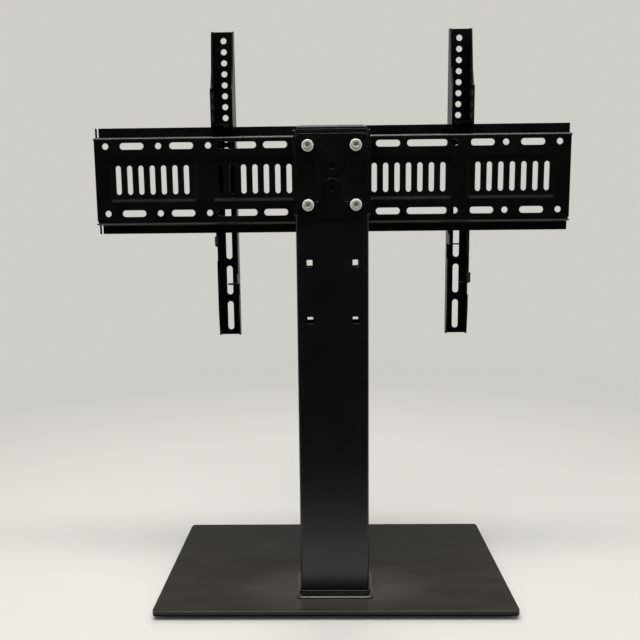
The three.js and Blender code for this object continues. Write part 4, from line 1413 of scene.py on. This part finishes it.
def floor_material(settings):
    """Pale matt floor that takes the backdrop's own colour far away, so that no horizon shows."""
    material, tree, place = new_material("pale_floor")
    mottle = add_node(tree, "ShaderNodeTexNoise", {"Vector": place, "Scale": 4, "Detail": 2.0})
    share = add_node(tree, "ShaderNodeMapRange", {
        "Value": mottle, "From Min": 0.3, "From Max": 0.7, "To Min": 0, "To Max": 0.04,
    })
    tone = add_node(tree, "ShaderNodeMix", {
        0: share, 6: (*settings.floor, 1), 7: (*linear("#bdbab3"), 1),
    }, data_type="RGBA")
    matt = add_node(tree, "ShaderNodeBsdfPrincipled", {
        "Base Color": tone, "Roughness": 0.75, "Specular IOR Level": 0.2,
    })
    far = add_node(tree, "ShaderNodeVectorMath", {0: place}, operation="LENGTH")
    fade = add_node(tree, "ShaderNodeMapRange", {
        "Value": far, "From Min": 0.4, "From Max": 2.2,
    }, interpolation_type="SMOOTHSTEP")
    seen, mirrored = seen_rays(tree)
    amount = add_node(tree, "ShaderNodeMath", {0: fade, 1: seen}, operation="MULTIPLY")
    glow = add_node(tree, "ShaderNodeEmission", {"Color": (*settings.backdrop, 1), "Strength": 1.0})
    faded = add_node(tree, "ShaderNodeMixShader", {0: amount, 1: matt, 2: glow})
    # In reflections it fades out behind the stand, within half a metre, into the dim room beyond
    behind = add_node(tree, "ShaderNodeSeparateXYZ", {0: place}).outputs["Y"]
    edge = add_node(tree, "ShaderNodeMapRange", {
        "Value": behind, "From Min": -0.14, "From Max": -0.52,
    }, interpolation_type="SMOOTHSTEP")
    ended = add_node(tree, "ShaderNodeMath", {0: edge, 1: mirrored}, operation="MULTIPLY")
    dim = add_node(tree, "ShaderNodeEmission", {"Color": (*settings.room, 1), "Strength": 1.0})
    whole = add_node(tree, "ShaderNodeMixShader", {0: ended, 1: faded, 2: dim})
    add_node(tree, "ShaderNodeOutputMaterial", {"Surface": whole})
    return material


def make_floor(context):
    """Lay a round floor, wide enough for its edge never to show."""
    disc = bmesh.new()
    bmesh.ops.create_circle(disc, cap_ends=True, segments=96, radius=9.0)
    mesh = bpy.data.meshes.new("floor")
    disc.to_mesh(mesh)
    disc.free()
    mesh.materials.append(floor_material(context.scene.stand_stage))
    link_object("floor", mesh)


def make_world(context):
    """Fill the studio with soft light, and give the eye and reflections the backdrop's own colour."""
    settings = context.scene.stand_stage
    world = bpy.data.worlds.new("studio")
    world.use_nodes = True
    tree = world.node_tree
    tree.nodes.clear()
    seen, mirrored = seen_rays(tree)
    fill = add_node(tree, "ShaderNodeBackground", {"Color": (*linear("#f2f1ee"), 1), "Strength": 0.42})
    # Reflections show the pale backdrop ahead and a pale ceiling, and the dim room behind the camera
    heading = add_node(tree, "ShaderNodeTexCoord").outputs["Generated"]
    heading = add_node(tree, "ShaderNodeSeparateXYZ", {0: heading}).outputs
    direct = add_node(tree, "ShaderNodeMath", {0: 1.0, 1: mirrored}, operation="SUBTRACT")
    pale = direct
    for way, start, end in (("Y", -0.7, 0.1), ("Z", 0.45, 1.0)):
        lit = add_node(tree, "ShaderNodeMapRange", {
            "Value": heading[way], "From Min": start, "From Max": end,
        }, interpolation_type="SMOOTHSTEP")
        pale = add_node(tree, "ShaderNodeMath", {0: pale, 1: lit}, operation="MAXIMUM")
    tone = add_node(tree, "ShaderNodeMix", {
        0: pale, 6: (*settings.room, 1), 7: (*settings.backdrop, 1),
    }, data_type="RGBA")
    backdrop = add_node(tree, "ShaderNodeBackground", {"Color": tone, "Strength": 1.0})
    both = add_node(tree, "ShaderNodeMixShader", {0: seen, 1: fill, 2: backdrop})
    add_node(tree, "ShaderNodeOutputWorld", {"Surface": both})
    context.scene.world = world


def make_lamps():
    """Hang three soft lamps, each by its place, aim, width, depth, power and whether reflections show it."""
    lamps = (
        ("overhead", (0.0, -0.45, 2.3), (0.0, -0.1, 0.3), 2.4, 0.32, 34, True),
        ("front_fill", (0.0, 1.3, 3.1), (0.0, 0.0, 0.3), 1.6, 1.0, 20, True),
        ("rear_fill", (-0.4, -1.4, 2.7), (0.0, 0.0, 0.45), 1.6, 1.0, 22, False),
    )
    for name, at, aim, wide, deep, power, mirrored in lamps:
        lamp = bpy.data.lights.new(name, "AREA")
        lamp.shape = "RECTANGLE"
        lamp.size = wide
        lamp.size_y = deep
        lamp.energy = power
        holder = link_object(name, lamp)
        holder.visible_glossy = mirrored
        holder.location = at
        holder.rotation_euler = (Vector(aim) - Vector(at)).to_track_quat("-Z", "Y").to_euler()


def make_camera(context):
    """Place the camera where the photograph was taken from, as fitted to the stand's known points."""
    place = Vector((-0.0048, -0.9927, 0.5366))
    down = math.radians(7.278)
    left = math.radians(0.85)
    roll = math.radians(0.585)
    ahead = Vector((-math.sin(left) * math.cos(down), math.cos(left) * math.cos(down), -math.sin(down)))
    right = ahead.cross(Vector((0, 0, 1))).normalized()
    up = right.cross(ahead)
    leaning = up * math.cos(roll) + right * math.sin(roll)
    level = right * math.cos(roll) - up * math.sin(roll)
    camera = bpy.data.cameras.new("camera")
    camera.sensor_width = 36
    camera.lens = 36.43
    camera.clip_start = 0.01
    holder = link_object("camera", camera)
    turned = Matrix((level, leaning, -ahead)).transposed().to_4x4()
    holder.matrix_world = Matrix.Translation(place) @ turned
    context.scene.camera = holder
    context.scene.view_settings.view_transform = "Standard"


# Operators

class StandOperator(bpy.types.Operator):
    """Shared settings of the stand's operators."""

    bl_options = {"REGISTER", "UNDO"}


class STAND_OT_stage(StandOperator):
    """Lay the floor and set the light and the camera"""

    bl_idname = "stand.stage"
    bl_label = "Stage"

    def execute(self, context):
        make_floor(context)
        make_world(context)
        make_lamps()
        make_camera(context)
        return {"FINISHED"}


class STAND_OT_glass_foot(StandOperator):
    """Make the polished glass foot"""

    bl_idname = "stand.glass_foot"
    bl_label = "Glass foot"

    def execute(self, context):
        make_glass_foot()
        return {"FINISHED"}


class STAND_OT_foot_fixings(StandOperator):
    """Make the rubber feet and the screws under the glass"""

    bl_idname = "stand.foot_fixings"
    bl_label = "Foot fixings"

    def execute(self, context):
        make_rubber_feet()
        make_base_screws()
        return {"FINISHED"}


class STAND_OT_column(StandOperator):
    """Make the column's tube"""

    bl_idname = "stand.column"
    bl_label = "Column"

    def execute(self, context):
        make_column(context)
        return {"FINISHED"}


class STAND_OT_mouldings(StandOperator):
    """Make the collar and the cap of the column"""

    bl_idname = "stand.mouldings"
    bl_label = "Collar and cap"

    def execute(self, context):
        make_collar()
        make_cap()
        return {"FINISHED"}


class STAND_OT_clamp(StandOperator):
    """Make the saddle and the clamp plate"""

    bl_idname = "stand.clamp"
    bl_label = "Saddle and clamp plate"

    def execute(self, context):
        make_saddle(context)
        make_clamp_plate(context)
        return {"FINISHED"}


class STAND_OT_wall_plate(StandOperator):
    """Make the pressed wall plate"""

    bl_idname = "stand.wall_plate"
    bl_label = "Wall plate"

    def execute(self, context):
        make_wall_plate(context)
        return {"FINISHED"}


class STAND_OT_arms(StandOperator):
    """Make the two slotted arms"""

    bl_idname = "stand.arms"
    bl_label = "Arms"

    def execute(self, context):
        make_arm(context, "arm_left", "left_slotted_arm", "left_arm")
        make_arm(context, "arm_right", "right_slotted_arm", "right_arm")
        return {"FINISHED"}


class STAND_OT_long_screws(StandOperator):
    """Make the long screws with their washers and nuts"""

    bl_idname = "stand.long_screws"
    bl_label = "Screws, washers and nuts"

    def execute(self, context):
        make_long_screws(context)
        make_washers(context)
        make_nuts(context)
        return {"FINISHED"}


OPERATORS = (STAND_OT_stage, STAND_OT_glass_foot, STAND_OT_foot_fixings, STAND_OT_column, STAND_OT_mouldings,
             STAND_OT_clamp, STAND_OT_wall_plate, STAND_OT_arms, STAND_OT_long_screws)


class STAND_PT_panel(bpy.types.Panel):
    """Sizes, colours and buttons for the stand."""

    bl_label = "Television stand"
    bl_idname = "STAND_PT_panel"
    bl_space_type = "VIEW_3D"
    bl_region_type = "UI"
    bl_category = "Stand"

    def draw(self, context):
        for operator in OPERATORS:
            self.layout.operator(operator.bl_idname)
        for name, group in SETTINGS:
            box = self.layout.box()
            box.label(text=group.__doc__)
            for key in group.__annotations__:
                box.prop(getattr(context.scene, name), key)


CLASSES = tuple(group for _, group in SETTINGS) + OPERATORS + (STAND_PT_panel,)


def register():
    for item in CLASSES:
        bpy.utils.register_class(item)
    for name, group in SETTINGS:
        setattr(bpy.types.Scene, name, PointerProperty(type=group))


def unregister():
    for name, _ in SETTINGS:
        delattr(bpy.types.Scene, name)
    for item in reversed(CLASSES):
        bpy.utils.unregister_class(item)


def main():
    register()
    bpy.ops.stand.stage()
    bpy.ops.stand.glass_foot()
    bpy.ops.stand.foot_fixings()
    bpy.ops.stand.column()
    bpy.ops.stand.mouldings()
    bpy.ops.stand.clamp()
    bpy.ops.stand.wall_plate()
    bpy.ops.stand.arms()
    bpy.ops.stand.long_screws()


if __name__ == "__main__":
    main()
